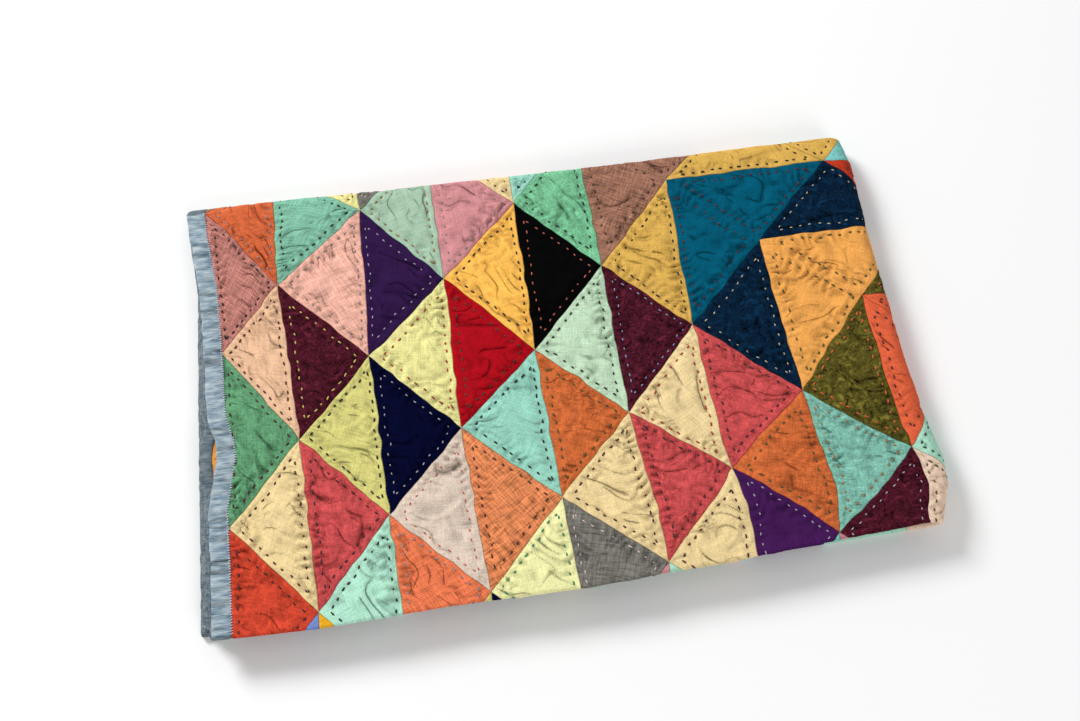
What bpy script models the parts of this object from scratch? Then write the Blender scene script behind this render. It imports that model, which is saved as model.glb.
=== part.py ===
"""Patchwork quilt with a bound edge, folded in four lengthwise, turned over and folded in half crosswise.

Metres, +Z up. +X runs along the pack from the bound ends to the crosswise fold, and +Y away
from the near fold. While it is built, x and y are 0 at one corner of the patchwork on the top
panel. At the end everything is moved, so that the origin is the middle of the footprint.
"""

import math

import bmesh
import bpy

# One cell of the patchwork: half the diagonal of a square made of two right triangles.
CELL = 0.080
STEPS_PER_CELL = 3
STEP = CELL / STEPS_PER_CELL

# The cloth and the air between its layers.
PLY = 0.0032
AIR = 0.0012
PITCH = PLY + AIR
CLEARANCE = 0.0003

# The binding is a strip folded round the edge, and the quilt's own edge is pressed thin in it.
BINDING_WIDTH = 0.018
BINDING_WALL = 0.0009
BINDING_ROUNDING = 0.0008
PRESSED_EDGE = 0.0008

# The pack: where its folds are, seen from above, before it is pulled out of true.
NEAR_FOLD_Y = -0.409
FAR_FOLD_Y = 0.028
CROSS_FOLD_X = 0.655
FREE_END_SET_BACK = 0.006
BACK_OF_BINDING_X = 0.010

# Heights of the four panels of one half above the middle of the pack.
INNER_PANEL = 0.5 * PITCH
LOWER_PANEL = 1.5 * PITCH
UPPER_PANEL = 2.5 * PITCH
OUTER_PANEL = 3.5 * PITCH
MIDDLE_Z = OUTER_PANEL + PLY / 2
TOP_Z = 2 * MIDDLE_Z

# Steps round the folds, and along the panels that lie hidden.
SMALL_FOLD_STEPS = 4
WRAP_FOLD_STEPS = 6
CROSS_FOLD_STEPS = 6
UNDER_STEPS = 4

# Quilting: each patch stands proud of the seams round it.
PUFF_HEIGHT = 0.0013
PUFF_SLOPE = 0.022
MITRE_START_COLUMN = 6

# How far each lower layer is set back at the near and far sides, for each metre below the top.
NEAR_SET_BACK = 0.47
FAR_SET_BACK = 0.20

# Bound ends of the top layer and of the lowest layer: columns are y, top x, lowest x.
BOUND_ENDS = (
    (0.036, -0.010, -0.012),
    (-0.001, -0.008, -0.011),
    (-0.057, -0.002, -0.008),
    (-0.112, -0.001, -0.011),
    (-0.154, -0.001, -0.013),
    (-0.194, -0.001, -0.015),
    (-0.223, 0.006, -0.016),
    (-0.239, 0.007, -0.017),
    (-0.265, 0.001, -0.018),
    (-0.293, -0.005, -0.019),
    (-0.343, -0.006, -0.021),
    (-0.413, -0.008, -0.024),
)

# Unevenness of the two long sides: columns are x, shift of the near side, shift of the far side.
LONG_SIDES = (
    (-0.020, 0.002, 0.004),
    (0.086, -0.002, 0.002),
    (0.158, 0.000, 0.000),
    (0.245, 0.001, -0.003),
    (0.331, 0.000, -0.005),
    (0.406, 0.003, -0.006),
    (0.471, 0.005, -0.006),
    (0.571, 0.011, -0.006),
    (0.641, 0.015, -0.007),
    (0.680, 0.014, -0.007),
)

# Unevenness of the crosswise fold: columns are steps towards the near side, shift in x.
# The hidden panels have their points on these steps, so that no layer meets the next.
CROSS_FOLD = (
    (-1, -0.002),
    (0, 0.002),
    (4, 0.000),
    (8, 0.002),
    (11, 0.005),
    (13, 0.010),
    (14, 0.004),
    (15.3, -0.009),
)

# Swells and hollows of the pack: columns are x, y, reach, share of the height.
SWELLS = (
    (0.640, -0.180, 0.150, 0.06),
    (0.020, -0.060, 0.110, -0.07),
    (0.010, -0.360, 0.100, -0.05),
    (0.300, -0.110, 0.120, 0.04),
    (0.230, -0.330, 0.100, -0.03),
    (0.470, -0.290, 0.110, 0.03),
    (0.420, -0.020, 0.090, -0.04),
)


def between(table, place, column):
    """The table's value at a place: straight lines between its rows, level past its ends."""
    rows = sorted(table)
    if place <= rows[0][0]:
        return rows[0][column]
    for low, high in zip(rows, rows[1:]):
        if place <= high[0]:
            share = (place - low[0]) / (high[0] - low[0])
            return low[column] + share * (high[column] - low[column])
    return rows[-1][column]


def bound_end(y, height):
    """x of the outer edge of the binding at y, for the layer this far above the middle."""
    depth = (MIDDLE_Z - height) / TOP_Z
    share = math.sin(0.5 * math.pi * max(0.0, min(1.0, depth)))
    top = between(BOUND_ENDS, y, 1)
    return top + share * (between(BOUND_ENDS, y, 2) - top)


def laid(point):
    """The place of a point once the true pack is pulled out of true, as it lies."""
    x, y, z = point
    level = z / TOP_Z
    toward_near = (FAR_FOLD_Y - y) / (FAR_FOLD_Y - NEAR_FOLD_Y)
    set_back = NEAR_SET_BACK * toward_near + FAR_SET_BACK * (1 - toward_near)
    side = between(LONG_SIDES, x, 1) * toward_near + between(LONG_SIDES, x, 2) * (1 - toward_near)
    moved_y = y + set_back * (TOP_Z - z) + side * (0.3 + 0.7 * level)
    toward_fold = max(0.0, x / CROSS_FOLD_X - 0.5) * 2
    moved_x = x + between(CROSS_FOLD, -y / STEP, 1) * toward_fold
    swell = sum(
        rise * math.exp(-((x - at_x) ** 2 + (y - at_y) ** 2) / reach**2)
        for at_x, at_y, reach, rise in SWELLS
    )
    return moved_x, moved_y, z * (1 + swell)


def turned(station, middle_x, offset):
    """A point on the pack: a section station, carried along the crosswise turn.

    station is (y, height, normal y, normal height). middle_x is ("top", x), ("turn", angle)
    or ("under", x), and offset is the distance from the cloth's middle towards its front.
    """
    y, height, normal_y, normal_h = station
    side, place = middle_x
    radius = height + normal_h * offset
    at_y = y + normal_y * offset
    if side == "top":
        return laid((place, at_y, MIDDLE_Z + radius))
    if side == "under":
        return laid((place, at_y, MIDDLE_Z - radius))
    across = CROSS_FOLD_X + radius * math.sin(place)
    return laid((across, at_y, MIDDLE_Z + radius * math.cos(place)))


def fold(centre_y, centre_h, radius, start, turn, steps):
    """Stations round one lengthwise fold, without its first point."""
    stations = []
    for step in range(1, steps + 1):
        angle = start + turn * step / steps
        side = 1 if turn < 0 else -1
        out_y = math.cos(angle)
        out_h = math.sin(angle)
        stations.append(
            (centre_y + radius * out_y, centre_h + radius * out_h, side * out_y, side * out_h)
        )
    return stations


def panel(start_y, end_y, height, facing, ys):
    """Stations along one flat panel at the given ys, its first point left out."""
    inside = [y for y in ys if min(start_y, end_y) + 1e-6 < y < max(start_y, end_y) - 1e-6]
    inside.sort(reverse=start_y > end_y)
    return [(y, height, 0.0, facing) for y in inside + [end_y]]


def even(start, end, steps):
    """Places that part a length evenly, both ends included."""
    return [start + (end - start) * step / steps for step in range(steps + 1)]


def section():
    """The back-and-forth section of one half, from the free end of its lower panel."""
    free_y = NEAR_FOLD_Y + FREE_END_SET_BACK
    hidden = [-STEP * steps for steps, _ in CROSS_FOLD]
    rows = [-STEP * row for row in range(-1, 6 * STEPS_PER_CELL)]
    shoulder = free_y + BINDING_WIDTH + CLEARANCE
    inner_fold = (UPPER_PANEL + LOWER_PANEL) / 2
    near_fold = (OUTER_PANEL + UPPER_PANEL) / 2
    wrap = (OUTER_PANEL + INNER_PANEL) / 2
    path = [(shoulder, LOWER_PANEL, 0.0, 1.0)]
    path += panel(shoulder, FAR_FOLD_Y, LOWER_PANEL, 1.0, hidden)
    path += fold(FAR_FOLD_Y, inner_fold, PITCH / 2, -math.pi / 2, math.pi, SMALL_FOLD_STEPS)
    path += panel(FAR_FOLD_Y, NEAR_FOLD_Y, UPPER_PANEL, -1.0, hidden)
    path += fold(NEAR_FOLD_Y, near_fold, PITCH / 2, 1.5 * math.pi, -math.pi, SMALL_FOLD_STEPS)
    path += panel(NEAR_FOLD_Y, FAR_FOLD_Y, OUTER_PANEL, 1.0, rows)
    path += fold(FAR_FOLD_Y, wrap, OUTER_PANEL - wrap, math.pi / 2, -math.pi, WRAP_FOLD_STEPS)
    path += panel(FAR_FOLD_Y, shoulder, INNER_PANEL, -1.0, hidden)
    return path


def end_station(height, facing, distance):
    """A station at this distance from a free end of the section."""
    return (NEAR_FOLD_Y + FREE_END_SET_BACK + distance, height, 0.0, facing)


def columns(start_x):
    """Places along the crosswise turn, from a top bound end at start_x, but for its pressed edge."""
    lines = [STEP * line for line in range(1, int(CROSS_FOLD_X / STEP) + 1)]
    true_length = CROSS_FOLD_X - BACK_OF_BINDING_X
    shares = [(line - BACK_OF_BINDING_X) / true_length for line in lines]
    return [start_x + (CROSS_FOLD_X - start_x) * share for share in shares]


def cross_places(station):
    """The full run of places for one station, as (side, place, pressed, line number) rows."""
    y, height = station[:2]
    inner = BINDING_WALL + CLEARANCE
    shoulder = BINDING_WIDTH + CLEARANCE
    top_x = bound_end(y, height)
    under_x = bound_end(y, -height)
    run = [("top", top_x + inner, True, 0), ("top", top_x + shoulder, True, 0)]
    run.append(("top", top_x + shoulder, False, 0))
    run += [("top", x, False, line) for line, x in enumerate(columns(top_x + shoulder), 1)]
    run += [("turn", angle, False, 0) for angle in even(0.0, math.pi, CROSS_FOLD_STEPS)]
    run += [("under", x, False, 0) for x in even(CROSS_FOLD_X, under_x + shoulder, UNDER_STEPS)[1:]]
    run.append(("under", under_x + shoulder, True, 0))
    run.append(("under", under_x + inner, True, 0))
    return run


def puff(column, row):
    """How far the quilted patch stands proud here, from the distance to its nearest seam."""
    to_rising = abs((column + row + 1) % 2 - 1) * CELL / math.sqrt(2)
    to_falling = abs((column - row + 1) % 2 - 1) * CELL / math.sqrt(2)
    diamond_column = round(column)
    if (diamond_column + round(row)) % 2 == 0:
        diamond_column += 1 if column > diamond_column else -1
    sideways = diamond_column > MITRE_START_COLUMN + max(0.0, row)
    to_middle = abs(row - round(row)) if sideways else abs(column - round(column))
    nearest = min(to_rising, to_falling, to_middle * CELL)
    unevenness = 0.85 + 0.15 * math.sin(2.3 * column + 1.7 * row)
    return PUFF_HEIGHT * unevenness * min(1.0, nearest / PUFF_SLOPE)


def relief(station, side, line):
    """The quilting's height on the front of the top panel, and nothing on the hidden ones."""
    y, height, normal_y, normal_h = station
    if side != "top" or line == 0 or normal_h < 0.99 or height < OUTER_PANEL - 1e-6:
        return 0.0
    return puff(line / STEPS_PER_CELL, -y / CELL)


def quilt_stations():
    """Stations of the whole cloth with a mark for its pressed ends."""
    inner = BINDING_WALL + CLEARANCE
    shoulder = BINDING_WIDTH + CLEARANCE
    marked = [(end_station(LOWER_PANEL, 1.0, inner), True)]
    marked.append((end_station(LOWER_PANEL, 1.0, shoulder), True))
    marked += [(station, False) for station in section()]
    marked.append((end_station(INNER_PANEL, -1.0, shoulder), True))
    marked.append((end_station(INNER_PANEL, -1.0, inner), True))
    return marked


def seam_rises(line, y):
    """Whether the slanting seam of this cell runs from its far left to its near right corner."""
    column = math.floor((line + 0.5) / STEPS_PER_CELL)
    row = math.floor(-y / CELL)
    return (column + row) % 2 == 0


def finished(name, mesh_data, colour, roughness):
    """A new object from a bmesh, closed, facing out, with its own material."""
    bmesh.ops.remove_doubles(mesh_data, verts=mesh_data.verts, dist=1e-5)
    bmesh.ops.dissolve_degenerate(mesh_data, edges=mesh_data.edges, dist=1e-6)
    bmesh.ops.recalc_face_normals(mesh_data, faces=mesh_data.faces)
    mesh = bpy.data.meshes.new(name)
    mesh_data.to_mesh(mesh)
    mesh_data.free()
    mesh.shade_smooth()
    mesh.set_sharp_from_angle(angle=math.radians(50))
    material = bpy.data.materials.new(name)
    material.use_nodes = True
    shader = material.node_tree.nodes["Principled BSDF"]
    shader.inputs["Base Color"].default_value = (*colour, 1.0)
    shader.inputs["Roughness"].default_value = roughness
    shader.inputs["Metallic"].default_value = 0.0
    mesh.materials.append(material)
    piece = bpy.data.objects.new(name, mesh)
    bpy.context.collection.objects.link(piece)
    return piece


def quilt_grids(mesh_data):
    """Rows of vertices of the front and of the back, and the lines and ys they stand on."""
    front, back = [], []
    for station, end_pressed in quilt_stations():
        front_row, back_row = [], []
        for side, place, pressed, line in cross_places(station):
            half = (PRESSED_EDGE if pressed or end_pressed else PLY) / 2
            raised = half if pressed or end_pressed else half + relief(station, side, line)
            front_row.append(mesh_data.verts.new(turned(station, (side, place), raised)))
            back_row.append(mesh_data.verts.new(turned(station, (side, place), -half)))
        front.append(front_row)
        back.append(back_row)
    return front, back


def split(mesh_data, corners, other_way):
    """Two triangles for four corners given in order round the cell."""
    a, b, c, d = corners
    halves = ((b, c, d), (b, d, a)) if other_way else ((a, b, c), (a, c, d))
    for half in halves:
        mesh_data.faces.new(half)


def quilt():
    """The quilted cloth: one sheet, front and back, closed round its pressed edge."""
    mesh_data = bmesh.new()
    front, back = quilt_grids(mesh_data)
    stations = [station for station, _ in quilt_stations()]
    lines = [line for *_, line in cross_places(stations[0])]
    for i in range(len(front) - 1):
        on_top = stations[i][1] > OUTER_PANEL - 1e-6
        for j in range(len(lines) - 1):
            rises = on_top and lines[j] > 0 and seam_rises(lines[j], stations[i + 1][0])
            for grid in (front, back):
                corners = (grid[i][j], grid[i + 1][j], grid[i + 1][j + 1], grid[i][j + 1])
                split(mesh_data, corners, rises)
    borders = [
        (front[0], back[0]),
        (front[-1], back[-1]),
        ([row[0] for row in front], [row[0] for row in back]),
        ([row[-1] for row in front], [row[-1] for row in back]),
    ]
    for outer, inner in borders:
        for step in range(len(outer) - 1):
            split(mesh_data, (outer[step], outer[step + 1], inner[step + 1], inner[step]), False)
    return finished("quilt_body", mesh_data, (0.62, 0.36, 0.22), 0.9)


def binding_profile():
    """Corners of the folded strip: distance from the bound end, and offset to the front."""
    half = PLY / 2
    slot = half - BINDING_WALL
    round_off = BINDING_ROUNDING
    outside = [(BINDING_WIDTH, half), (round_off, half), (0.0, half - round_off)]
    inside = [(BINDING_WIDTH, slot), (BINDING_WALL, slot)]
    return outside + [(a, -o) for a, o in reversed(outside)] + [
        (a, -o) for a, o in inside
    ] + inside[::-1]


def strip(name, rings):
    """A closed strip through rings of points."""
    mesh_data = bmesh.new()
    rows = [[mesh_data.verts.new(point) for point in ring] for ring in rings]
    count = len(rows[0])
    for before, after in zip(rows, rows[1:]):
        for k in range(count):
            following = (k + 1) % count
            corners = (before[k], before[following], after[following], after[k])
            split(mesh_data, corners, False)
    mesh_data.faces.new(rows[0])
    mesh_data.faces.new(rows[-1])
    return finished(name, mesh_data, (0.34, 0.42, 0.50), 0.85)


def side_binding(name, side):
    """The strip on one side edge, which follows all the panels of its half."""
    stations = [end_station(LOWER_PANEL, 1.0, 0.0)] + section()
    stations.append(end_station(INNER_PANEL, -1.0, 0.0))
    rings = []
    for station in stations:
        height = station[1] if side == "top" else -station[1]
        edge = bound_end(station[0], height)
        rings.append(
            [turned(station, (side, edge + a), offset) for a, offset in binding_profile()]
        )
    return strip(name, rings)


def end_binding(name, height, facing):
    """The strip on one end of the cloth, which runs round the crosswise fold."""
    runs = []
    for distance, offset in binding_profile():
        station = end_station(height, facing, distance)
        places = [(side, x) for side, x, pressed, _ in cross_places(station) if not pressed]
        runs.append([turned(station, place, offset) for place in places])
    rings = [list(ring) for ring in zip(*runs)]
    return strip(name, rings)


def centre(pieces):
    """Moves every mesh so that the origin is the middle of the footprint, on the surface."""
    points = [vertex.co for piece in pieces for vertex in piece.data.vertices]
    middle_x = (min(p.x for p in points) + max(p.x for p in points)) / 2
    middle_y = (min(p.y for p in points) + max(p.y for p in points)) / 2
    lowest = min(p.z for p in points)
    for point in points:
        point.x -= middle_x
        point.y -= middle_y
        point.z -= lowest
    print(f"moved by {-middle_x:.5f} {-middle_y:.5f} {-lowest:.5f}")


for leftover in list(bpy.data.objects):
    bpy.data.objects.remove(leftover)

centre(
    [
        quilt(),
        side_binding("side_binding_top", "top"),
        side_binding("side_binding_under", "under"),
        end_binding("end_binding_outer", LOWER_PANEL, 1.0),
        end_binding("end_binding_inner", INNER_PANEL, -1.0),
    ]
)
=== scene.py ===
import math

import bpy
import numpy as np
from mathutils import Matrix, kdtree


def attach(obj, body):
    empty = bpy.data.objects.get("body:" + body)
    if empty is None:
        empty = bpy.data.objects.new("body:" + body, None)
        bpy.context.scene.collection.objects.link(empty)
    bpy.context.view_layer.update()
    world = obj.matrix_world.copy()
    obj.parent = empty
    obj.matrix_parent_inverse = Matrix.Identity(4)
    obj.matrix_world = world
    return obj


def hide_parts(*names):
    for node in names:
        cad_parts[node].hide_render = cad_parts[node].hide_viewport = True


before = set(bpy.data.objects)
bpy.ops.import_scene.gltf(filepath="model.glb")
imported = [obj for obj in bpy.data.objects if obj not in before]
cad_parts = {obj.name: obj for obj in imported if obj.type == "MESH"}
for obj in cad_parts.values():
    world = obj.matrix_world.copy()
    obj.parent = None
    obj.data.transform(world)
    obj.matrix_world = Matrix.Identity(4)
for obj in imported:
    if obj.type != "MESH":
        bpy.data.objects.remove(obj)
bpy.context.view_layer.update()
bpy.ops.object.select_all(action="DESELECT")


# Camera, floor and light
# The quilt is seen from above and in front, a little from the left, with a 50 mm lens.
# It lies on a plain pale floor under one broad soft light, with a weaker one to fill.

# Where the patchwork's corner lies in the pack's frame: all cloth is laid out from it.
CORNER_X = -0.3284
CORNER_Y = 0.1850

CAMERA_HEIGHT = 1.349
CAMERA_AHEAD = 0.788
CAMERA_ASIDE = 0.230
CAMERA_ELEVATION = 65.0
CAMERA_AZIMUTH = 8.48
LENS_MM = 50.0

camera_data = bpy.data.cameras.new("camera")
camera_data.lens = LENS_MM
camera_data.sensor_width = 36.0
camera_data.clip_end = 20.0
camera = bpy.data.objects.new("camera", camera_data)
camera.location = (CORNER_X + CAMERA_ASIDE, CORNER_Y - CAMERA_AHEAD, CAMERA_HEIGHT)
camera.rotation_euler = (math.radians(90 - CAMERA_ELEVATION), 0, -math.radians(CAMERA_AZIMUTH))
bpy.context.collection.objects.link(camera)
bpy.context.scene.camera = camera

FLOOR_SIDE = 8.0
FLOOR_GREY = (0.93, 0.93, 0.93, 1)
LIGHT_SIDE = 1.5
KEY_PLACE = (-2.4, 2.8, 2.7)
KEY_WATTS = 182
FILL_PLACE = (0.9, -3.2, 2.2)
FILL_WATTS = 42
WORLD_STRENGTH = 0.45


def new_finish(name, **values):
    """A new material, its nodes and its shader, with values such as Roughness or Sheen_Weight."""
    finish = bpy.data.materials.new(name)
    finish.use_nodes = True
    shader = finish.node_tree.nodes["Principled BSDF"]
    for key, value in values.items():
        shader.inputs[key.replace("_", " ")].default_value = value
    return finish, finish.node_tree, shader


bpy.ops.mesh.primitive_plane_add(size=FLOOR_SIDE, location=(0, 0, 0))
floor = bpy.context.object
floor.name = "floor"
floor_finish = new_finish(
    "floor_finish", Base_Color=FLOOR_GREY, Roughness=0.9, Specular_IOR_Level=0.1
)[0]
floor.data.materials.append(floor_finish)
bpy.ops.object.select_all(action="DESELECT")


def soft_light(name, place, watts):
    """A square area light aimed at the middle of the quilt."""
    lamp = bpy.data.lights.new(name, "AREA")
    lamp.size = LIGHT_SIDE
    lamp.energy = watts
    holder = bpy.data.objects.new(name, lamp)
    holder.location = place
    aim = -holder.location
    holder.rotation_euler = aim.to_track_quat("-Z", "Y").to_euler()
    bpy.context.collection.objects.link(holder)


soft_light("key", KEY_PLACE, KEY_WATTS)
soft_light("fill", FILL_PLACE, FILL_WATTS)
bpy.context.scene.view_settings.view_transform = "Standard"

world = bpy.data.worlds.new("studio")
world.use_nodes = True
background = world.node_tree.nodes["Background"]
background.inputs["Color"].default_value = (1, 1, 1, 1)
background.inputs["Strength"].default_value = WORLD_STRENGTH
bpy.context.scene.world = world


# Quilted cloth, top panel
# Right triangles of washed cotton and linen, sewn in pairs to squares on point, lie on a
# thin filling and a backing. Big running stitches beside every seam hold the three together.
# The whole cloth is folded in four lengthwise, turned over and folded in half crosswise.

CELL = 0.080
PLY = 0.0032
PITCH = 0.0044
NEAR_FOLD_Y = -0.409
FAR_FOLD_Y = 0.028
CROSS_FOLD_X = 0.655
FREE_END_SET_BACK = 0.006
PANEL_HEIGHTS = {
    "inner": 0.5 * PITCH,
    "lower": 1.5 * PITCH,
    "upper": 2.5 * PITCH,
    "outer": 3.5 * PITCH,
}
MIDDLE_Z = PANEL_HEIGHTS["outer"] + PLY / 2
TOP_Z = 2 * MIDDLE_Z

# How the true pack is pulled out of true, as in the solids: slopes of the two long sides, and
# how much of a side's shift the lowest layer takes.
NEAR_SET_BACK = 0.47
FAR_SET_BACK = 0.20
LOWEST_SHARE = 0.3

# Columns are y, x of the top layer's bound end, x of the lowest layer's.
BOUND_ENDS = (
    (-0.413, -0.008, -0.024),
    (-0.343, -0.006, -0.021),
    (-0.293, -0.005, -0.019),
    (-0.265, 0.001, -0.018),
    (-0.239, 0.007, -0.017),
    (-0.223, 0.006, -0.016),
    (-0.194, -0.001, -0.015),
    (-0.154, -0.001, -0.013),
    (-0.112, -0.001, -0.011),
    (-0.057, -0.002, -0.008),
    (-0.001, -0.008, -0.011),
    (0.029, -0.0100, -0.012),
    (0.032, -0.0085, -0.011),
    (0.035, -0.0050, -0.007),
)

# Here the second panel lies back and the third comes forward, so that a strip of it shows.
NOTCH_Y = -0.240
NOTCH_REACH = 0.028
NOTCH_SHARES = {"upper": -0.12, "lower": 0.83}
NARROWED = 0.32

# Columns are x, shift of the near side, shift of the far side.
LONG_SIDES = (
    (-0.020, 0.002, 0.004),
    (0.086, -0.002, 0.002),
    (0.158, 0.000, 0.000),
    (0.245, 0.001, -0.003),
    (0.331, 0.000, -0.005),
    (0.406, 0.003, -0.006),
    (0.471, 0.005, -0.006),
    (0.571, 0.011, -0.006),
    (0.641, 0.015, -0.007),
    (0.680, 0.014, -0.007),
)

# Columns are cells towards the near side, shift of the crosswise fold.
CROSS_FOLD = (
    (-1 / 3, -0.002),
    (0, 0.002),
    (4 / 3, 0.000),
    (8 / 3, 0.002),
    (11 / 3, 0.005),
    (13 / 3, 0.012),
    (14 / 3, 0.010),
    (5.1, -0.002),
)

# Columns are x, y, reach, share of the height.
SWELLS = (
    (0.640, -0.180, 0.150, 0.06),
    (0.020, -0.060, 0.110, -0.07),
    (0.010, -0.360, 0.100, -0.05),
    (0.300, -0.110, 0.120, 0.04),
    (0.230, -0.330, 0.100, -0.03),
    (0.470, -0.290, 0.110, 0.03),
    (0.420, -0.020, 0.090, -0.04),
)


def from_table(table, place, column):
    """The table's value at each place, in straight lines between its rows."""
    rows = np.array(table)
    return np.interp(place, rows[:, 0], rows[:, column])


def rise(value, zero, one, least=0):
    """0, or the least share, at the place zero, rising evenly to 1 at the place one."""
    return np.clip((value - zero) / (one - zero), least, 1)


def bell(value, width):
    """1 where the value is 0, falling away smoothly on both sides."""
    return np.exp(-((value / width) ** 2))


def notch(y, height, panel):
    """1 in the notch on this panel, falling to 0 beside it and on the other panels."""
    beside = np.exp(-(((y - NOTCH_Y) / NOTCH_REACH) ** 4))
    return beside * np.clip(1 - np.abs(height - PANEL_HEIGHTS[panel]) / (0.5 * PITCH), 0, 1)


def bound_end(y, height):
    """x of the outer edge of the binding, for the layer at this height over the middle."""
    depth = np.clip((MIDDLE_Z - height) / TOP_Z, 0, 1)
    share = np.sin(0.5 * np.pi * depth)
    for panel, notch_share in NOTCH_SHARES.items():
        share = share + notch(y, height, panel) * (notch_share - share)
    top = from_table(BOUND_ENDS, y, 1)
    return top + share * (from_table(BOUND_ENDS, y, 2) - top)


def laid(x, y, z):
    """Points of the true pack as they lie, in the pack's frame."""
    toward_near = (FAR_FOLD_Y - y) / (FAR_FOLD_Y - NEAR_FOLD_Y)
    set_back = NEAR_SET_BACK * toward_near + FAR_SET_BACK * (1 - toward_near)
    near_shift = from_table(LONG_SIDES, x, 1)
    far_shift = from_table(LONG_SIDES, x, 2)
    side = near_shift * toward_near + far_shift * (1 - toward_near)
    side = side * (LOWEST_SHARE + (1 - LOWEST_SHARE) * z / TOP_Z)
    moved_y = y + set_back * (TOP_Z - z) + side
    toward_fold = np.maximum(0, x / CROSS_FOLD_X - 0.5) * 2
    moved_x = x + from_table(CROSS_FOLD, -y / CELL, 1) * toward_fold
    swell = sum(
        share * np.exp(-((x - at_x) ** 2 + (y - at_y) ** 2) / reach**2)
        for at_x, at_y, reach, share in SWELLS
    )
    return np.stack([moved_x + CORNER_X, moved_y + CORNER_Y, z * (1 + swell)], axis=-1)


# Lengths along the cloth, from row 0 of the top panel: v grows towards the near fold.
SMALL_RADIUS = PITCH / 2
WRAP_RADIUS = 1.5 * PITCH
SMALL_ARC = math.pi * SMALL_RADIUS
WRAP_ARC = math.pi * WRAP_RADIUS
PANEL_LENGTH = FAR_FOLD_Y - NEAR_FOLD_Y
V_NEAR_FOLD = -NEAR_FOLD_Y
V_UPPER = V_NEAR_FOLD + SMALL_ARC
V_INNER_FOLD = V_UPPER + PANEL_LENGTH
V_LOWER = V_INNER_FOLD + SMALL_ARC
V_OUTER_END = V_LOWER + PANEL_LENGTH - FREE_END_SET_BACK
V_WRAP = -FAR_FOLD_Y
V_INNER = V_WRAP - WRAP_ARC
V_INNER_END = V_INNER - PANEL_LENGTH + FREE_END_SET_BACK

# One half's panels: columns are name, first and last v, v where y is 0, which way y grows.
PANELS = (
    ("outer", V_WRAP, V_NEAR_FOLD, 0, -1),
    ("upper", V_UPPER, V_INNER_FOLD, V_UPPER - NEAR_FOLD_Y, 1),
    ("lower", V_LOWER, math.inf, V_LOWER + FAR_FOLD_Y, -1),
    ("inner", -math.inf, V_INNER, V_INNER - FAR_FOLD_Y, 1),
)

# Its folds: columns are first and last v, radius, y, which way the fold bulges, the panel above
# it, and which way that panel's front faces.
FOLDS = (
    (V_NEAR_FOLD, V_UPPER, SMALL_RADIUS, NEAR_FOLD_Y, -1, "outer", 1),
    (V_INNER_FOLD, V_LOWER, SMALL_RADIUS, FAR_FOLD_Y, 1, "upper", -1),
    (V_WRAP, V_INNER, WRAP_RADIUS, FAR_FOLD_Y, 1, "outer", 1),
)

# Lengths along the rows, from column 0 of the top panel: u grows towards the crosswise fold.
TURN_RADIUS = PANEL_HEIGHTS["outer"]
TURN_ARC = math.pi * TURN_RADIUS
UNDER_LONGER = 0.012
U_UNDER = CROSS_FOLD_X + TURN_ARC
U_END = U_UNDER + CROSS_FOLD_X + UNDER_LONGER
END_STRETCH = CELL / 3
EDGE_GAP = 0.0012


def section(v):
    """Across one half of the pack: y, height, and the two parts of the front's direction."""
    y, h, ny, nh = (np.zeros_like(v) for _ in range(4))
    for panel, first, last, middle_v, growing in PANELS:
        at = (v >= first) & (v <= last)
        y = np.where(at, growing * (v - middle_v), y)
        h = np.where(at, PANEL_HEIGHTS[panel], h)
        nh = np.where(at, -growing, nh)
    for first, last, radius, fold_y, bulge, panel, facing in FOLDS:
        turn = np.pi * rise(v, first, last)
        at = (turn > 0) & (turn < np.pi)
        y = np.where(at, fold_y + bulge * radius * np.sin(turn), y)
        h = np.where(at, PANEL_HEIGHTS[panel] - radius + radius * np.cos(turn), h)
        ny = np.where(at, bulge * facing * np.sin(turn), ny)
        nh = np.where(at, facing * np.cos(turn), nh)
    return y, h, ny, nh


def top_x(u, y, h):
    """x along the top half, before the pack is pulled out of true."""
    tip = bound_end(y, h) + EDGE_GAP
    return np.where(u < END_STRETCH, tip + u / END_STRETCH * (END_STRETCH - tip), u)


def under_x(u, y, h):
    """x along the under half, before the pack is pulled out of true."""
    tip = bound_end(y, -h) + EDGE_GAP
    last = CROSS_FOLD_X - (U_END - END_STRETCH - U_UNDER)
    stretched = tip + (U_END - u) / END_STRETCH * (last - tip)
    return np.where(u > U_END - END_STRETCH, stretched, CROSS_FOLD_X - (u - U_UNDER))


def round_crosswise(u, radius):
    """x and height round the crosswise fold, and the height before and after it."""
    angle = np.clip((u - CROSS_FOLD_X) / TURN_RADIUS, 0, np.pi)
    return CROSS_FOLD_X + radius * np.sin(angle), MIDDLE_Z + radius * np.cos(angle)


def on_cloth(u, v, offset):
    """Points at a flat place of the cloth, this far from its middle towards the patchwork."""
    y, h, ny, nh = section(v)
    turned_x, z = round_crosswise(u, h + nh * offset)
    x = np.where(u > CROSS_FOLD_X, turned_x, top_x(u, y, h))
    x = np.where(u > U_UNDER, under_x(u, y, h), x)
    return laid(x, y + ny * offset, z)


# A table of random hills, where the flat cloth lies on it, and what brings the hills to about 1.
NOISE_TABLE = (97, 89)
NOISE_ORIGIN = (31.7, 17.3)
NOISE_GAIN = 1.6


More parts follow.
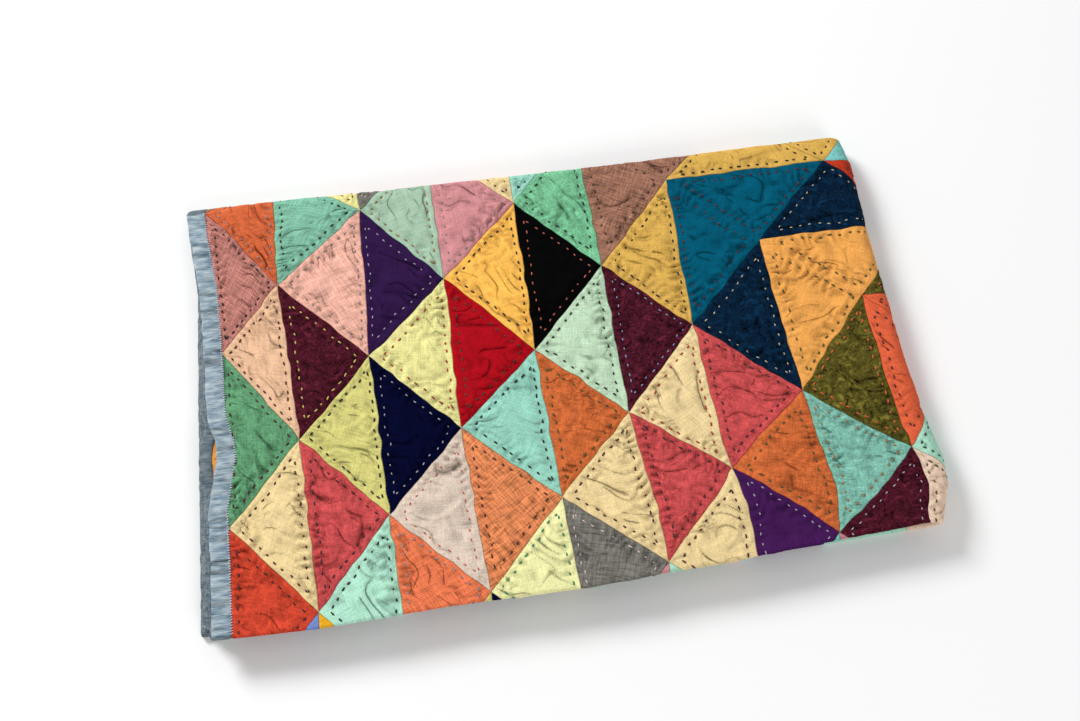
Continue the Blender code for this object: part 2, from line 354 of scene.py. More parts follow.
def soft_noise(x, y, size, seed):
    """Smooth noise from -1 to 1 with hills about this size."""
    table = np.random.default_rng(seed).uniform(-1, 1, NOISE_TABLE)
    gx, gy = x / size + NOISE_ORIGIN[0], y / size + NOISE_ORIGIN[1]
    ix, iy = np.floor(gx).astype(int), np.floor(gy).astype(int)
    fx, fy = gx - ix, gy - iy
    fx, fy = fx * fx * (3 - 2 * fx), fy * fy * (3 - 2 * fy)
    wide, high = NOISE_TABLE
    corner = [[table[(ix + i) % wide, (iy + j) % high] for j in (0, 1)] for i in (0, 1)]
    low = corner[0][0] * (1 - fx) + corner[1][0] * fx
    top = corner[0][1] * (1 - fx) + corner[1][1] * fx
    return NOISE_GAIN * (low * (1 - fy) + top * fy)


def patchy(x, y, size, seed, mean, swing, most=1):
    """A strength from 0 to the most that varies smoothly from place to place."""
    return np.clip(mean + swing * soft_noise(x, y, size, seed), 0, most)


# How far the seams' corners stray from an even grid, in mm: columns are column, row, across, away.
STRAYING_CORNERS = (
    (0, 0, 13, 28),
    (0, 2, 16, 30),
    (0, 4, 14, 11),
    (0, 6, 11, 0),
    (1, -1, -1, -9),
    (1, 1, -5, 18),
    (1, 3, 4, 12),
    (1, 5, 7, 3),
    (2, 0, 4, 13),
    (2, 2, -2, 7),
    (2, 4, 0, 3),
    (2, 6, 4, 0),
    (3, -1, -2, 3),
    (3, 1, 0, 3),
    (3, 3, -4, 0),
    (3, 5, 3, -4),
    (4, 0, 0, 1),
    (4, 2, -2, -7),
    (4, 4, 0, -2),
    (4, 6, 7, 0),
    (5, -1, -6, 7),
    (5, 1, -3, -3),
    (5, 3, -4, -7),
    (5, 5, 7, -2),
    (6, 0, -2, 7),
    (6, 2, -6, -5),
    (6, 4, -2, -1),
    (6, 6, 18, 0),
    (7, 1, -3, 0),
    (7, 3, 2, -15),
    (7, 5, 8, -5),
    (8, 0, 2, 6),
    (8, 2, 4, -1),
    (8, 4, 4, -14),
    (8, 6, 26, -6),
)
SEAM_WOBBLE = 0.0008
SEAM_WOBBLE_LENGTH = 0.013

# Where the wobble is none and where it is full, at each end of the rows and of the columns.
WOBBLE_ROWS = ((-0.3, -0.05), (5.05, 5.05 - 1 / 6))
WOBBLE_COLUMNS = ((0, 0.6), (8.7, 8.45))

LATTICE_START = 20
LATTICE_SIZE = 64
BORDER_SHARE = 0.0160

# The left column of corners lies just under the binding's inner edge.
STRAYING = np.zeros((LATTICE_SIZE, LATTICE_SIZE, 2))
STRAYING[LATTICE_START, :, 0] = BORDER_SHARE
for straying_column, straying_row, right_mm, away_mm in STRAYING_CORNERS:
    place_in_table = (straying_column + LATTICE_START, straying_row + LATTICE_START)
    STRAYING[place_in_table] = (right_mm / 1000, away_mm / 1000)

# Columns below 0 are the seam allowance that the binding hides.
FIRST_COLUMN = -0.24


def flat_place(column, row):
    """Where a point of the pattern lies on the flat cloth, in metres along u and v."""
    inner = np.maximum(column, 0)
    centre_column, centre_row, across, second = diamond(inner, row)
    beside, down = inner - centre_column, row - centre_row
    along = np.where(across, beside, down)
    off_cut = np.abs(np.where(across, down, beside))
    side = np.where(second, 1, -1)
    corners = (
        (centre_column - across, centre_row - ~across, (1 - off_cut - along) / 2),
        (centre_column + across, centre_row + ~across, (1 - off_cut + along) / 2),
        (centre_column + side * ~across, centre_row + side * across, off_cut),
    )
    moved = np.zeros(inner.shape + (2,))
    for at_column, at_row, share in corners:
        moved += STRAYING[at_column + LATTICE_START, at_row + LATTICE_START] * share[..., None]
    u = CELL * inner + moved[..., 0]
    v = CELL * row - moved[..., 1]
    wobble = SEAM_WOBBLE
    for place, limits in ((row, WOBBLE_ROWS), (inner, WOBBLE_COLUMNS)):
        for none, full in limits:
            wobble = wobble * rise(place, none, full)
    wobble_u = wobble * soft_noise(u, v, SEAM_WOBBLE_LENGTH, 5)
    wobble_v = wobble * soft_noise(u, v, SEAM_WOBBLE_LENGTH, 6)
    return (u + wobble_u) * (1 - np.minimum(column, 0) / FIRST_COLUMN), v + wobble_v


# Dyed cloths: columns are name, colour, weave, thread of its running stitches.
CLOTHS = (
    # Painted darker for the patch at column 1, row 0, as painted shade; the same cloth is painted
    # lighter for column 2, row 5.
    ("orange", "CF653D", "linen", "ash"),
    ("mint", "7FB99F", "linen", "black"),
    ("light_mint", "A2C0A7", "plain", "tan"),
    ("pink", "CB8A8D", "plain", "ash"),
    ("green", "78BE92", "washed", "black"),
    ("rose_brown", "986C59", "slub", "umber"),
    ("mustard", "D8AC55", "plain", "black"),
    ("teal", "025670", "plain", "maroon"),
    ("sky", "7CC6C0", "plain", "white"),
    ("rust_red", "B83C22", "plain", "maroon"),
    ("dusty_rose", "BA7B71", "slub", "black"),
    ("salmon", "E8AF9D", "linen", "ash"),
    ("violet", "2F1744", "plain", "white"),
    ("amber", "F9BB57", "plain", "black"),
    ("black", "030303", "plain", "coral"),
    ("night", "07233C", "velvet", "cream"),
    ("apricot", "EBA554", "plain", "olive"),
    ("peach", "E5B996", "plain", "maroon"),
    ("plum_gold", "4F1827", "velvet", "gold"),
    ("plum_ice", "501929", "velvet", "ice"),
    ("plum_white", "4F1827", "velvet", "white"),
    ("lemon", "E6E096", "plain", "brick"),
    ("crimson", "A90D1A", "plain", "umber"),
    ("pale_mint", "BCD8B9", "plain", "black"),
    ("leaf", "629B71", "washed", "maroon"),
    ("lime", "D2CC7C", "plain", "black"),
    ("navy", "020528", "plain", "white"),
    ("turquoise", "96D1BD", "plain", "black"),
    ("rust", "CA6838", "washed", "olive"),
    ("cream", "EBD29C", "plain", "brick"),
    ("raspberry", "C84F50", "washed", "maroon"),
    ("olive", "5F5722", "velvet", "orange"),
    ("coral", "DF6340", "plain", "maroon"),
    ("lilac", "DAC7B6", "plain", "coral"),
    ("terracotta", "DC8556", "slub", "umber"),
    ("butter", "E8CF98", "plain", "maroon"),
    ("brick", "CB4630", "washed", "maroon"),
    ("aqua", "ACDEC5", "plain", "black"),
    ("charcoal", "74716A", "slub", "blush"),
    ("purple", "431A53", "plain", "white"),
    ("sea", "80BBAA", "washed", "tan"),
    ("straw", "ECEAAA", "plain", "leaf"),
    ("blue", "7189C4", "plain", "white"),
    ("gold", "E4A726", "plain", "black"),
    # The orange cloth again, painted lighter for the patch at column 2, row 5, as painted light.
    ("lit_orange", "E67850", "linen", "ash"),
    ("shell", "E9CBB4", "plain", "olive"),
    ("backing", "D9CDB4", "plain", "ash"),
)
CLOTH_NUMBER = {row[0]: number for number, row in enumerate(CLOTHS)}

# The last cloths of the list aren't drawn by lot for the patches that lie hidden.
NOT_DRAWN = 3

# The two triangles of each diamond that shows: columns are column, row, left or upper, right
# or lower. Past the mitre seam the diamonds are cut across instead of down.
PATCHES = (
    (2, -1, "lemon", "charcoal"),
    (4, -1, "butter", "turquoise"),
    (6, -1, "green", "rose_brown"),
    (8, -1, "gold", "mustard"),
    (1, 0, "orange", "mint"),
    (3, 0, "light_mint", "pink"),
    (5, 0, "green", "rose_brown"),
    (7, 0, "mustard", "teal"),
    (9, 0, "sky", "rust_red"),
    (0, 1, "rust", "dusty_rose"),
    (2, 1, "salmon", "violet"),
    (4, 1, "amber", "black"),
    (6, 1, "mustard", "teal"),
    (8, 1, "night", "apricot"),
    (1, 2, "peach", "plum_gold"),
    (3, 2, "lemon", "crimson"),
    (5, 2, "pale_mint", "plum_ice"),
    (7, 2, "night", "apricot"),
    (9, 2, "olive", "coral"),
    (0, 3, "peach", "leaf"),
    (2, 3, "lime", "navy"),
    (4, 3, "turquoise", "rust"),
    (6, 3, "cream", "raspberry"),
    (8, 3, "olive", "coral"),
    (1, 4, "butter", "raspberry"),
    (3, 4, "lilac", "terracotta"),
    (5, 4, "butter", "raspberry"),
    (7, 4, "rust", "sea"),
    (9, 4, "aqua", "pink"),
    (0, 5, "navy", "brick"),
    (2, 5, "aqua", "lit_orange"),
    (4, 5, "straw", "charcoal"),
    (6, 5, "butter", "purple"),
    (8, 5, "plum_white", "shell"),
    (1, 6, "blue", "gold"),
    (3, 6, "lime", "navy"),
    (5, 6, "pink", "aqua"),
    (7, 6, "sky", "pink"),
    (9, 6, "shell", "aqua"),
    (10, 5, "aqua", "purple"),
    (-1, 14, "apricot", "apricot"),
    (0, 13, "apricot", "apricot"),
    (0, 15, "apricot", "apricot"),
)
MITRE_COLUMN = 6
KNOWN_PATCHES = {row[:2]: row[2:] for row in PATCHES}


def square_of(column, row):
    """The middle of each point's square, counted along the two kinds of slanting seam."""
    rising = 2 * np.floor((column + row) / 2) + 1
    falling = 2 * np.floor((column - row) / 2) + 1
    return rising, falling


def diamond(column, row):
    """The diamond of each point, whether it is cut across, and which half the point is in."""
    rising, falling = square_of(column, row)
    centre_column = (rising + falling) / 2
    centre_row = (rising - falling) / 2
    across = centre_column > MITRE_COLUMN + centre_row
    second = np.where(across, row > centre_row, column > centre_column)
    return centre_column.astype(int), centre_row.astype(int), across, second


def of_triangle(lot, column, row):
    """What a lot has drawn for the triangle that each point is in."""
    centre_column, centre_row, _, second = diamond(column, row)
    return lot[centre_column % LATTICE_SIZE, centre_row % LATTICE_SIZE, second.astype(int)]


def cloth_of(column, row):
    """The number of the dyed cloth at each point. Patches that lie hidden are drawn by lot."""
    shape = (LATTICE_SIZE, LATTICE_SIZE, 2)
    lot = np.random.default_rng(11).integers(0, len(CLOTHS) - NOT_DRAWN, shape)
    chosen = of_triangle(lot, column, row)
    centre_column, centre_row, _, second = diamond(column, row)
    for (at_column, at_row), names in KNOWN_PATCHES.items():
        here = (centre_column == at_column) & (centre_row == at_row)
        chosen = np.where(here & ~second, CLOTH_NUMBER[names[0]], chosen)
        chosen = np.where(here & second, CLOTH_NUMBER[names[1]], chosen)
    return chosen


def patch_grain(column, row):
    """Turn and slip of the weave in each triangle, so that no two patches match."""
    lot = np.random.default_rng(17).uniform(-1, 1, (LATTICE_SIZE, LATTICE_SIZE, 2, 3))
    return of_triangle(lot, column, row)


def seam_distances(column, row):
    """Distances in metres from each point to the three seams of its triangle."""
    rising, falling = square_of(column, row)
    to_rising = (1 - np.abs(column + row - rising)) * CELL / math.sqrt(2)
    to_falling = (1 - np.abs(column - row - falling)) * CELL / math.sqrt(2)
    centre_column, centre_row, across, _ = diamond(column, row)
    to_middle = np.where(across, np.abs(row - centre_row), np.abs(column - centre_column)) * CELL
    return to_rising, to_falling, to_middle


# Running stitches go round each triangle, this far inside its seams.
STITCH_INSET = 0.0068
INSET_SPREAD = 0.0018
BESIDE_BINDING = 0.0062
STITCH_SPACING = 0.0095
STITCH_STRAY = 0.0006
TOP_LIMITS = {"first_row": -0.46, "last_row": 5.16, "first_column": 0.04, "last_column": 8.62}


def inset_corners(corners, insets):
    """Corners of a triangle whose sides are moved in by the given distances, in metres."""
    points = [np.array(corner, float) * CELL for corner in corners]
    middle = sum(points) / 3
    lines = []
    for start, end, inset in zip(points, points[1:] + points[:1], insets):
        along = (end - start) / np.linalg.norm(end - start)
        normal = np.array([-along[1], along[0]])
        if normal @ (middle - start) < 0:
            normal = -normal
        lines.append((start + normal * inset, along))
    found = []
    for k in range(3):
        (p, a), (q, b) = lines[k - 1], lines[k]
        step = np.linalg.solve(np.array([a, -b]).T, q - p)[0]
        found.append(p + a * step)
    return found


def stitched_side(start, end, lot):
    """Places of the stitches along one side of a triangle, and their direction."""
    length = np.linalg.norm(end - start)
    along = (end - start) / length
    count = int(round(length / STITCH_SPACING))
    places = []
    for step in range(count):
        slip = lot.normal(0, STITCH_STRAY, 2)
        places.append(start + along * (step + 0.5) * length / count + slip)
    return places, along


def plan_stitches():
    """Every running stitch of the top panel: column, row, direction and cloth number."""
    lot = np.random.default_rng(3)
    rows = []
    for (column, row), names in KNOWN_PATCHES.items():
        across = column > MITRE_COLUMN + row
        top, bottom = (column, row - 1), (column, row + 1)
        left, right = (column - 1, row), (column + 1, row)
        cut, tips = (top, bottom), (left, right)
        if across:
            cut, tips = tips, cut
        for tip, name in zip(tips, names):
            insets = STITCH_INSET + lot.uniform(-INSET_SPREAD, INSET_SPREAD, 3)
            if column == 0:
                insets[0] = BESIDE_BINDING
            corners = inset_corners((*cut, tip), insets)
            for start, end in zip(corners, corners[1:] + corners[:1]):
                places, along = stitched_side(start, end, lot)
                rows += [(*(place / CELL), *along, CLOTH_NUMBER[name]) for place in places]
    rows = np.array(rows)
    limits = TOP_LIMITS
    keep = (rows[:, 1] > limits["first_row"]) & (rows[:, 1] < limits["last_row"])
    keep &= (rows[:, 0] > limits["first_column"]) & (rows[:, 0] < limits["last_column"])
    return rows[keep]


stitches = plan_stitches()
stitch_tree = kdtree.KDTree(len(stitches))
for number, (column, row) in enumerate(stitches[:, :2]):
    stitch_tree.insert((column * CELL, row * CELL, 0), number)
stitch_tree.balance()

# The main creases, as they lie in the photograph. Columns are column, row, length, heading in
# degrees towards the viewer, height (a trough below 0), width and bow, the last four in mm.
CREASES = (
    (1.50, 1.28, 62, 25, 0.9, 2.4, 4),
    (2.28, 0.72, 34, 2, 0.8, 2.0, -2),
    (2.40, 1.30, 40, 20, 0.7, 2.4, 5),
    (0.72, 0.10, 44, 38, 0.9, 2.6, 5),
    (1.40, 0.10, 40, -35, 0.8, 2.2, 4),
    (0.60, 0.80, 50, 60, 0.8, 2.4, 6),
    (0.45, 1.35, 46, 48, -0.7, 2.2, -4),
    (0.80, 2.30, 44, 30, 0.9, 2.6, 7),
    (0.90, 2.62, 34, -20, 0.8, 2.2, -4),
    (1.35, 2.20, 42, 70, 0.8, 2.6, 5),
    (2.72, 2.10, 56, 35, 0.9, 2.6, 6),
    (2.60, 1.75, 34, -60, 0.7, 2.2, 3),
    (3.30, 2.00, 52, 55, 0.9, 3.0, 8),
    (3.45, 2.40, 40, 40, 0.8, 2.6, -5),
    (3.60, 0.70, 36, -30, 0.8, 2.2, 4),
    (3.70, 1.20, 40, 15, 0.9, 2.6, 6),
    (3.40, -0.10, 46, 15, 0.9, 2.4, -5),
    (2.70, 0.30, 34, 40, 0.8, 2.2, 3),
    (4.90, 0.10, 42, 30, 0.8, 2.4, 5),
    (5.60, 0.85, 50, 25, 0.9, 2.6, -5),
    (5.80, 1.30, 40, 50, 0.8, 2.4, 6),
    (6.30, 0.35, 70, 40, 0.8, 2.2, 3),
    (6.60, 0.80, 44, -15, 0.8, 2.6, 6),
    (6.75, 1.20, 46, 10, 0.9, 2.6, -4),
    (7.30, 1.15, 60, 20, 0.8, 2.6, 4),
    (7.60, 1.60, 78, 36, 1.0, 2.8, 5),
    (7.55, 2.20, 40, 10, 0.8, 2.6, 7),
    (6.85, 2.00, 40, 60, 0.8, 2.4, -4),
    (7.75, 2.80, 60, 25, 1.1, 3.4, 8),
    (8.00, 3.20, 52, 5, 1.0, 3.2, -6),
    (6.20, 2.80, 40, 65, 0.9, 2.6, 5),
    (6.00, 2.45, 34, -40, 0.8, 2.2, 4),
    (6.60, 3.10, 46, 25, 0.9, 2.8, 7),
    (5.00, 1.80, 42, -25, 0.9, 2.4, 5),
    (4.85, 2.20, 40, 30, 0.8, 2.6, -4),
    (5.50, 2.00, 46, 45, 0.8, 2.8, 6),
    (4.30, 2.80, 52, 60, 0.9, 2.8, 6),
    (3.75, 3.00, 44, 40, 0.8, 2.4, 5),
    (1.60, 3.30, 44, 35, 0.9, 2.4, -5),
    (1.70, 2.80, 34, -30, 0.8, 2.2, 4),
    (2.35, 2.90, 44, 30, 0.7, 2.4, 5),
    (0.45, 3.30, 60, 40, 1.1, 3.2, 8),
    (0.50, 2.75, 40, -35, 0.9, 2.8, 5),
    (0.75, 4.10, 52, 30, 1.0, 2.6, 7),
    (1.35, 4.00, 42, 55, 0.9, 2.8, -5),
    (2.60, 4.00, 46, -30, 0.8, 2.4, 5),
    (3.35, 4.00, 50, -10, 0.9, 3.0, 6),
    (4.80, 3.90, 46, 40, 1.0, 2.8, 8),
    (4.65, 4.30, 38, -30, 0.8, 2.4, -4),
    (5.40, 4.00, 46, 15, 0.9, 3.0, 6),
    (6.70, 3.85, 44, -35, 0.8, 2.6, 5),
    (7.35, 3.90, 52, 30, 0.9, 2.8, 7),
    (8.10, 4.60, 40, 50, 0.8, 2.4, 5),
    (1.70, 4.90, 40, -25, 0.9, 2.6, 5),
    (3.70, 4.80, 36, 40, 0.8, 2.4, -4),
    (5.75, 4.80, 36, -45, 0.8, 2.4, 4),
    (7.60, 4.90, 40, 20, 0.8, 2.4, 5),
)

# Heights and lengths of the quilting's relief, in metres.
PUFF = 0.0017
SEAM_SOFTNESS = 0.0036
MITRE_SOFTNESS = 0.004
MITRE_FLATNESS = 0.65
MITRE_ROWS = (-1, 2)
ROW_TROUGH = 0.0009
ROW_WIDTH = 0.0024
PUCKER = 0.0014
PUCKER_REACH = 0.0085
PUCKER_DRIFT = 0.65
CRINKLE = 0.0014
ROLL = 0.0014
SMALL_ROLL = 0.75 * ROLL
STITCH_DIMPLE = 0.0007
DIMPLE_WIDTH = 0.0023
CREASE_STRENGTH = 1.3
SETTLED = 0.0014
CLEAR_OF_SEAM = 0.003

# The wrinkles' heading towards the viewer, how much it turns from patch to patch, how much their
# lines waver along and across it, and over what length.
WRINKLE_HEADING = math.radians(35)
WRINKLE_TURN = math.radians(40)
WAVER_ALONG = (0.007, 0.022)
WAVER_ACROSS = (0.0055, 0.019)

# Large and small wrinkles: columns are size, stretch along the heading, length of the stretches
# in which their lines are strong, mean strength, and the seeds of both.
WRINKLE_FIELDS = (
    (0.020, 0.30, 0.013, 0.48, 25, 30),
    (0.012, 0.34, 0.009, 0.50, 26, 31),
)
LEAST_RUN = 0.35
LARGE_WIDTH = 0.32
SMALL_WIDTH = 0.36

# The relief grows calmer towards the folds: columns are calmest place, full place, least share.
CALM_AT_CROSS_FOLD = (8.35, 7.95, 0.3)
CALM_AT_FAR_FOLD = (-0.35, 0.05, 0.4)
CALM_AT_NEAR_FOLD = (5.12, 4.92, 0.3)


def on_mitre(column, row):
    """1 on the mitre seam, where both sides are the same cloth, and 0 away from it."""
    off = (column - row - MITRE_COLUMN) * CELL / math.sqrt(2)
    return bell(off, MITRE_SOFTNESS) * ((row > MITRE_ROWS[0]) & (row < MITRE_ROWS[1]))


def wrinkles(column, row):
    """Two smooth fields whose zeros are the lines of wrinkles, and how strong each line is."""
    u, v = column * CELL, row * CELL
    nearest = np.min(np.stack(seam_distances(column, row)), axis=0)
    grain = patch_grain(column, row)
    heading = WRINKLE_HEADING + WRINKLE_TURN * grain[..., 0]
    along = u * np.cos(heading) + v * np.sin(heading) + grain[..., 1]
    across = v * np.cos(heading) - u * np.sin(heading) + grain[..., 2]
    along = along + WAVER_ALONG[0] * soft_noise(u, v, WAVER_ALONG[1], 23)
    across = across + WAVER_ACROSS[0] * soft_noise(u, v, WAVER_ACROSS[1], 24)
    strength = patchy(along, across, 0.025, 27, 0.95, 0.8, 1.35)
    strength = strength * rise(nearest, 0.001, 0.009)
    lines, strengths = [], []
    for size, stretch, run, mean, line_seed, run_seed in WRINKLE_FIELDS:
        runs = patchy(0.8 * along, across, run, run_seed, mean, 1.6)
        line = soft_noise(along * stretch, across * 1.2, size, line_seed)
        lines.append(line / np.maximum(runs, LEAST_RUN))
        strengths.append(strength * runs)
    return (*lines, *strengths)


def hand_creases(u, v):
    """Height of the listed creases."""
    height = np.zeros_like(u)
    for column, row, length, heading, lift, width, bow in CREASES:
        dx, dy = u - column * CELL, v - row * CELL
        cos, sin = math.cos(math.radians(heading)), math.sin(math.radians(heading))
        along = (dx * cos + dy * sin) / (length / 2000)
        across = (-dx * sin + dy * cos) * 1000 - bow * (1 - along**2)
        across = across + 1.5 * np.sin(3.0 * along + column)
        height += CREASE_STRENGTH * lift / 1000 * bell(across, width) * np.exp(-(along**4))
    return height


def quilting(column, row):
    """Height of the quilted surface over the plain cloth, from seams, stitches and creases."""
    u, v = column * CELL, row * CELL
    to_rising, to_falling, to_middle = seam_distances(column, row)
    nearest, following, _ = np.sort(np.stack((to_rising, to_falling, to_middle)), axis=0)
    blend = np.minimum(nearest, 0.5 * (nearest + following))
    puff = PUFF * (1 - np.exp(-((blend / SEAM_SOFTNESS) ** 1.5)))
    puff = puff + MITRE_FLATNESS * on_mitre(column, row) * (PUFF - puff)
    off_row = nearest - STITCH_INSET
    trough = ROW_TROUGH * bell(off_row, ROW_WIDTH)
    along = np.where(diamond(column, row)[2], u, v)
    along = np.where(to_rising <= nearest + 1e-9, (u - v) / math.sqrt(2), along)
    along = np.where(to_falling <= nearest + 1e-9, (u + v) / math.sqrt(2), along)
    drift = PUCKER_DRIFT * soft_noise(u, v, 0.016, 21)
    wave = np.cos(2 * np.pi * (along / STITCH_SPACING + drift))
    beside = bell(off_row, PUCKER_REACH) * rise(nearest, 0, CLEAR_OF_SEAM)
    pucker = PUCKER * wave * beside * patchy(u, v, 0.035, 22, 0.55, 0.9, 1.4)
    large, small, large_strength, small_strength = wrinkles(column, row)
    valleys = large_strength * bell(large, LARGE_WIDTH)
    valleys = valleys + 0.5 * small_strength * bell(small, SMALL_WIDTH)
    rolls = ROLL * soft_noise(u, v, 0.060, 28) + SMALL_ROLL * soft_noise(u, v, 0.012, 29)
    inside = rise(nearest, CLEAR_OF_SEAM, 0.013)
    creases = hand_creases(u, v) * (0.35 + 0.65 * inside) - SETTLED
    calm = rise(column, *CALM_AT_CROSS_FOLD)
    calm = calm * rise(row, *CALM_AT_FAR_FOLD) * rise(row, *CALM_AT_NEAR_FOLD)
    return (puff - trough) * calm, (pucker - CRINKLE * valleys + rolls + creases) * calm


def stitch_dimples(column, row):
    """How deep each stitch pulls the cloth in, from the distance to the nearest one."""
    depth = np.empty(column.size)
    for number, (c, r) in enumerate(zip(column.ravel(), row.ravel())):
        distance = stitch_tree.find((c * CELL, r * CELL, 0))[2]
        depth[number] = STITCH_DIMPLE * math.exp(-((distance / DIMPLE_WIDTH) ** 2))
    return depth.reshape(column.shape)


BINDING_WIDTH = 0.018
WELL_INSIDE = BINDING_WIDTH - 0.0006
PRESSED_HALF = 0.0004
LEAVING_BINDING = 0.0012


def out_of_binding(u, v):
    """0 where the cloth's edge is pressed in its binding, rising to 1 where it leaves it."""
    y, h, _, _ = section(v)
    from_top = top_x(u, y, h) - bound_end(y, h)
    from_under = under_x(u, y, h) - bound_end(y, -h)
    from_ends = np.minimum(V_OUTER_END - v, v - V_INNER_END)
    nearest = np.minimum(np.minimum(from_top, from_under), from_ends)
    return rise(nearest, WELL_INSIDE, WELL_INSIDE + LEAVING_BINDING)


def half_thickness(free):
    """Half the cloth's thickness, from how far it is out of its binding."""
    return PRESSED_HALF + (PLY / 2 - PRESSED_HALF) * free


def linear(hex_colour):
    """Linear red, green and blue of a colour written as on a screen."""
    parts = [int(hex_colour[k : k + 2], 16) / 255 for k in (0, 2, 4)]
    return [p / 12.92 if p <= 0.04045 else ((p + 0.055) / 1.055) ** 2.4 for p in parts]


# Shader nodes are laid out in rows.
NODES_ABREAST = 9
NODE_STEP = (200, 280)


def node(tree, kind, **settings):
    """A new shader node with its settings and the values of its sockets."""
    down, along = divmod(len(tree.nodes), NODES_ABREAST)
    new = tree.nodes.new(kind)
    new.location = (NODE_STEP[0] * (along - NODES_ABREAST), -NODE_STEP[1] * down)
    for key, value in settings.items():
        if hasattr(new, key):
            setattr(new, key, value)
        else:
            new.inputs[key.replace("_", " ")].default_value = value
    return new


def attribute(tree, name):
    """The node of a value that the mesh carries."""
    return node(tree, "ShaderNodeAttribute", attribute_name=name)


def threads(tree, uv, scale, stretch, seed):
    """Noise drawn out along one direction, like single threads of uneven thickness."""
    mapping = node(
        tree,
        "ShaderNodeMapping",
        Location=(seed, seed * 0.37, 0),
        Scale=(scale / stretch[0], scale / stretch[1], 1),
    )
    tree.links.new(uv.outputs["UV"], mapping.inputs["Vector"])
    noise = node(tree, "ShaderNodeTexNoise", Scale=1.0, Detail=2.0, Roughness=0.55)
    tree.links.new(mapping.outputs["Vector"], noise.inputs["Vector"])
    return noise


def math_node(tree, operation, *values):
    """One step of arithmetic with sockets or numbers."""
    step = node(tree, "ShaderNodeMath", operation=operation)
    for socket, value in zip(step.inputs, values):
        if isinstance(value, (int, float)):
            socket.default_value = value
        else:
            tree.links.new(value, socket)
    return step.outputs[0]


def weighted_sum(tree, start, terms):
    """start plus every socket times its weight."""
    total = start
    for socket, weight in terms:
        total = math_node(tree, "MULTIPLY_ADD", socket, weight, total)
    return total


def fine_line(tree, field, half_width):
    """1 where the field is zero, falling to 0 this far from it."""
    share = math_node(tree, "DIVIDE", math_node(tree, "ABSOLUTE", field), half_width)
    rest = math_node(tree, "SUBTRACT", 1.0, math_node(tree, "MINIMUM", share, 1.0))
    return math_node(tree, "POWER", rest, LINE_SHARPNESS)


def colour_ramp(tree, value, low, high):
    """The shader's colour by a value, between two pairs of position and colour."""
    ramp = node(tree, "ShaderNodeValToRGB")
    for element, (position, colour) in zip(ramp.color_ramp.elements, (low, high)):
        element.position = position
        element.color = (*colour, 1)
    tree.links.new(value, ramp.inputs["Fac"])
    return ramp.outputs["Color"]


def dimmed(tree, colour, shade):
    """A colour times a shade."""
    step = node(tree, "ShaderNodeVectorMath", operation="SCALE")
    tree.links.new(colour, step.inputs[0])
    tree.links.new(shade, step.inputs["Scale"])
    return step.outputs[0]


def finish_shader(tree, shader, colour, height, strength, distance):
    """The shader's colour, and its bump from a height."""
    tree.links.new(colour, shader.inputs["Base Color"])
    bump = node(tree, "ShaderNodeBump", Strength=strength, Distance=distance)
    tree.links.new(height, bump.inputs["Height"])
    tree.links.new(bump.outputs["Normal"], shader.inputs["Normal"])


# Columns are the strength of the weave's streaks, how many there are on a metre and how long
# they are drawn out, the strength of the wash's clouds and how many of them there are on a
# metre, the strength of the fuzz, and the painted light on the crumple's crests: above 0 they
# are painted lighter, a painted sheen, and below 0 darker, as painted shade.
FINISHES = {
    "plain": (0.55, 1000, 24, 0.35, 75, 0.50, -0.06),
    "linen": (1.00, 900, 22, 0.35, 75, 0.50, -0.06),
    "slub": (1.70, 700, 14, 0.35, 75, 0.55, -0.06),
    "velvet": (0.40, 1100, 30, 1.40, 150, 1.80, 2.40),
    "washed": (0.70, 900, 20, 0.90, 110, 0.90, 0.55),
}
WEAVES = tuple(FINISHES)
CRUMPLE_MEAN = 0.12
MEAN_SHADE = 0.995
FUZZ_SCALE = 520
CRUMPLE_SCALE = 105

# How wide the lines of bump and painted shade are, in the wrinkles' fields and beside seams, and
# how sharp.
LARGE_LINE = 0.24
SMALL_LINE = 0.28
DITCH_MM = 0.9
LINE_SHARPNESS = 1.6


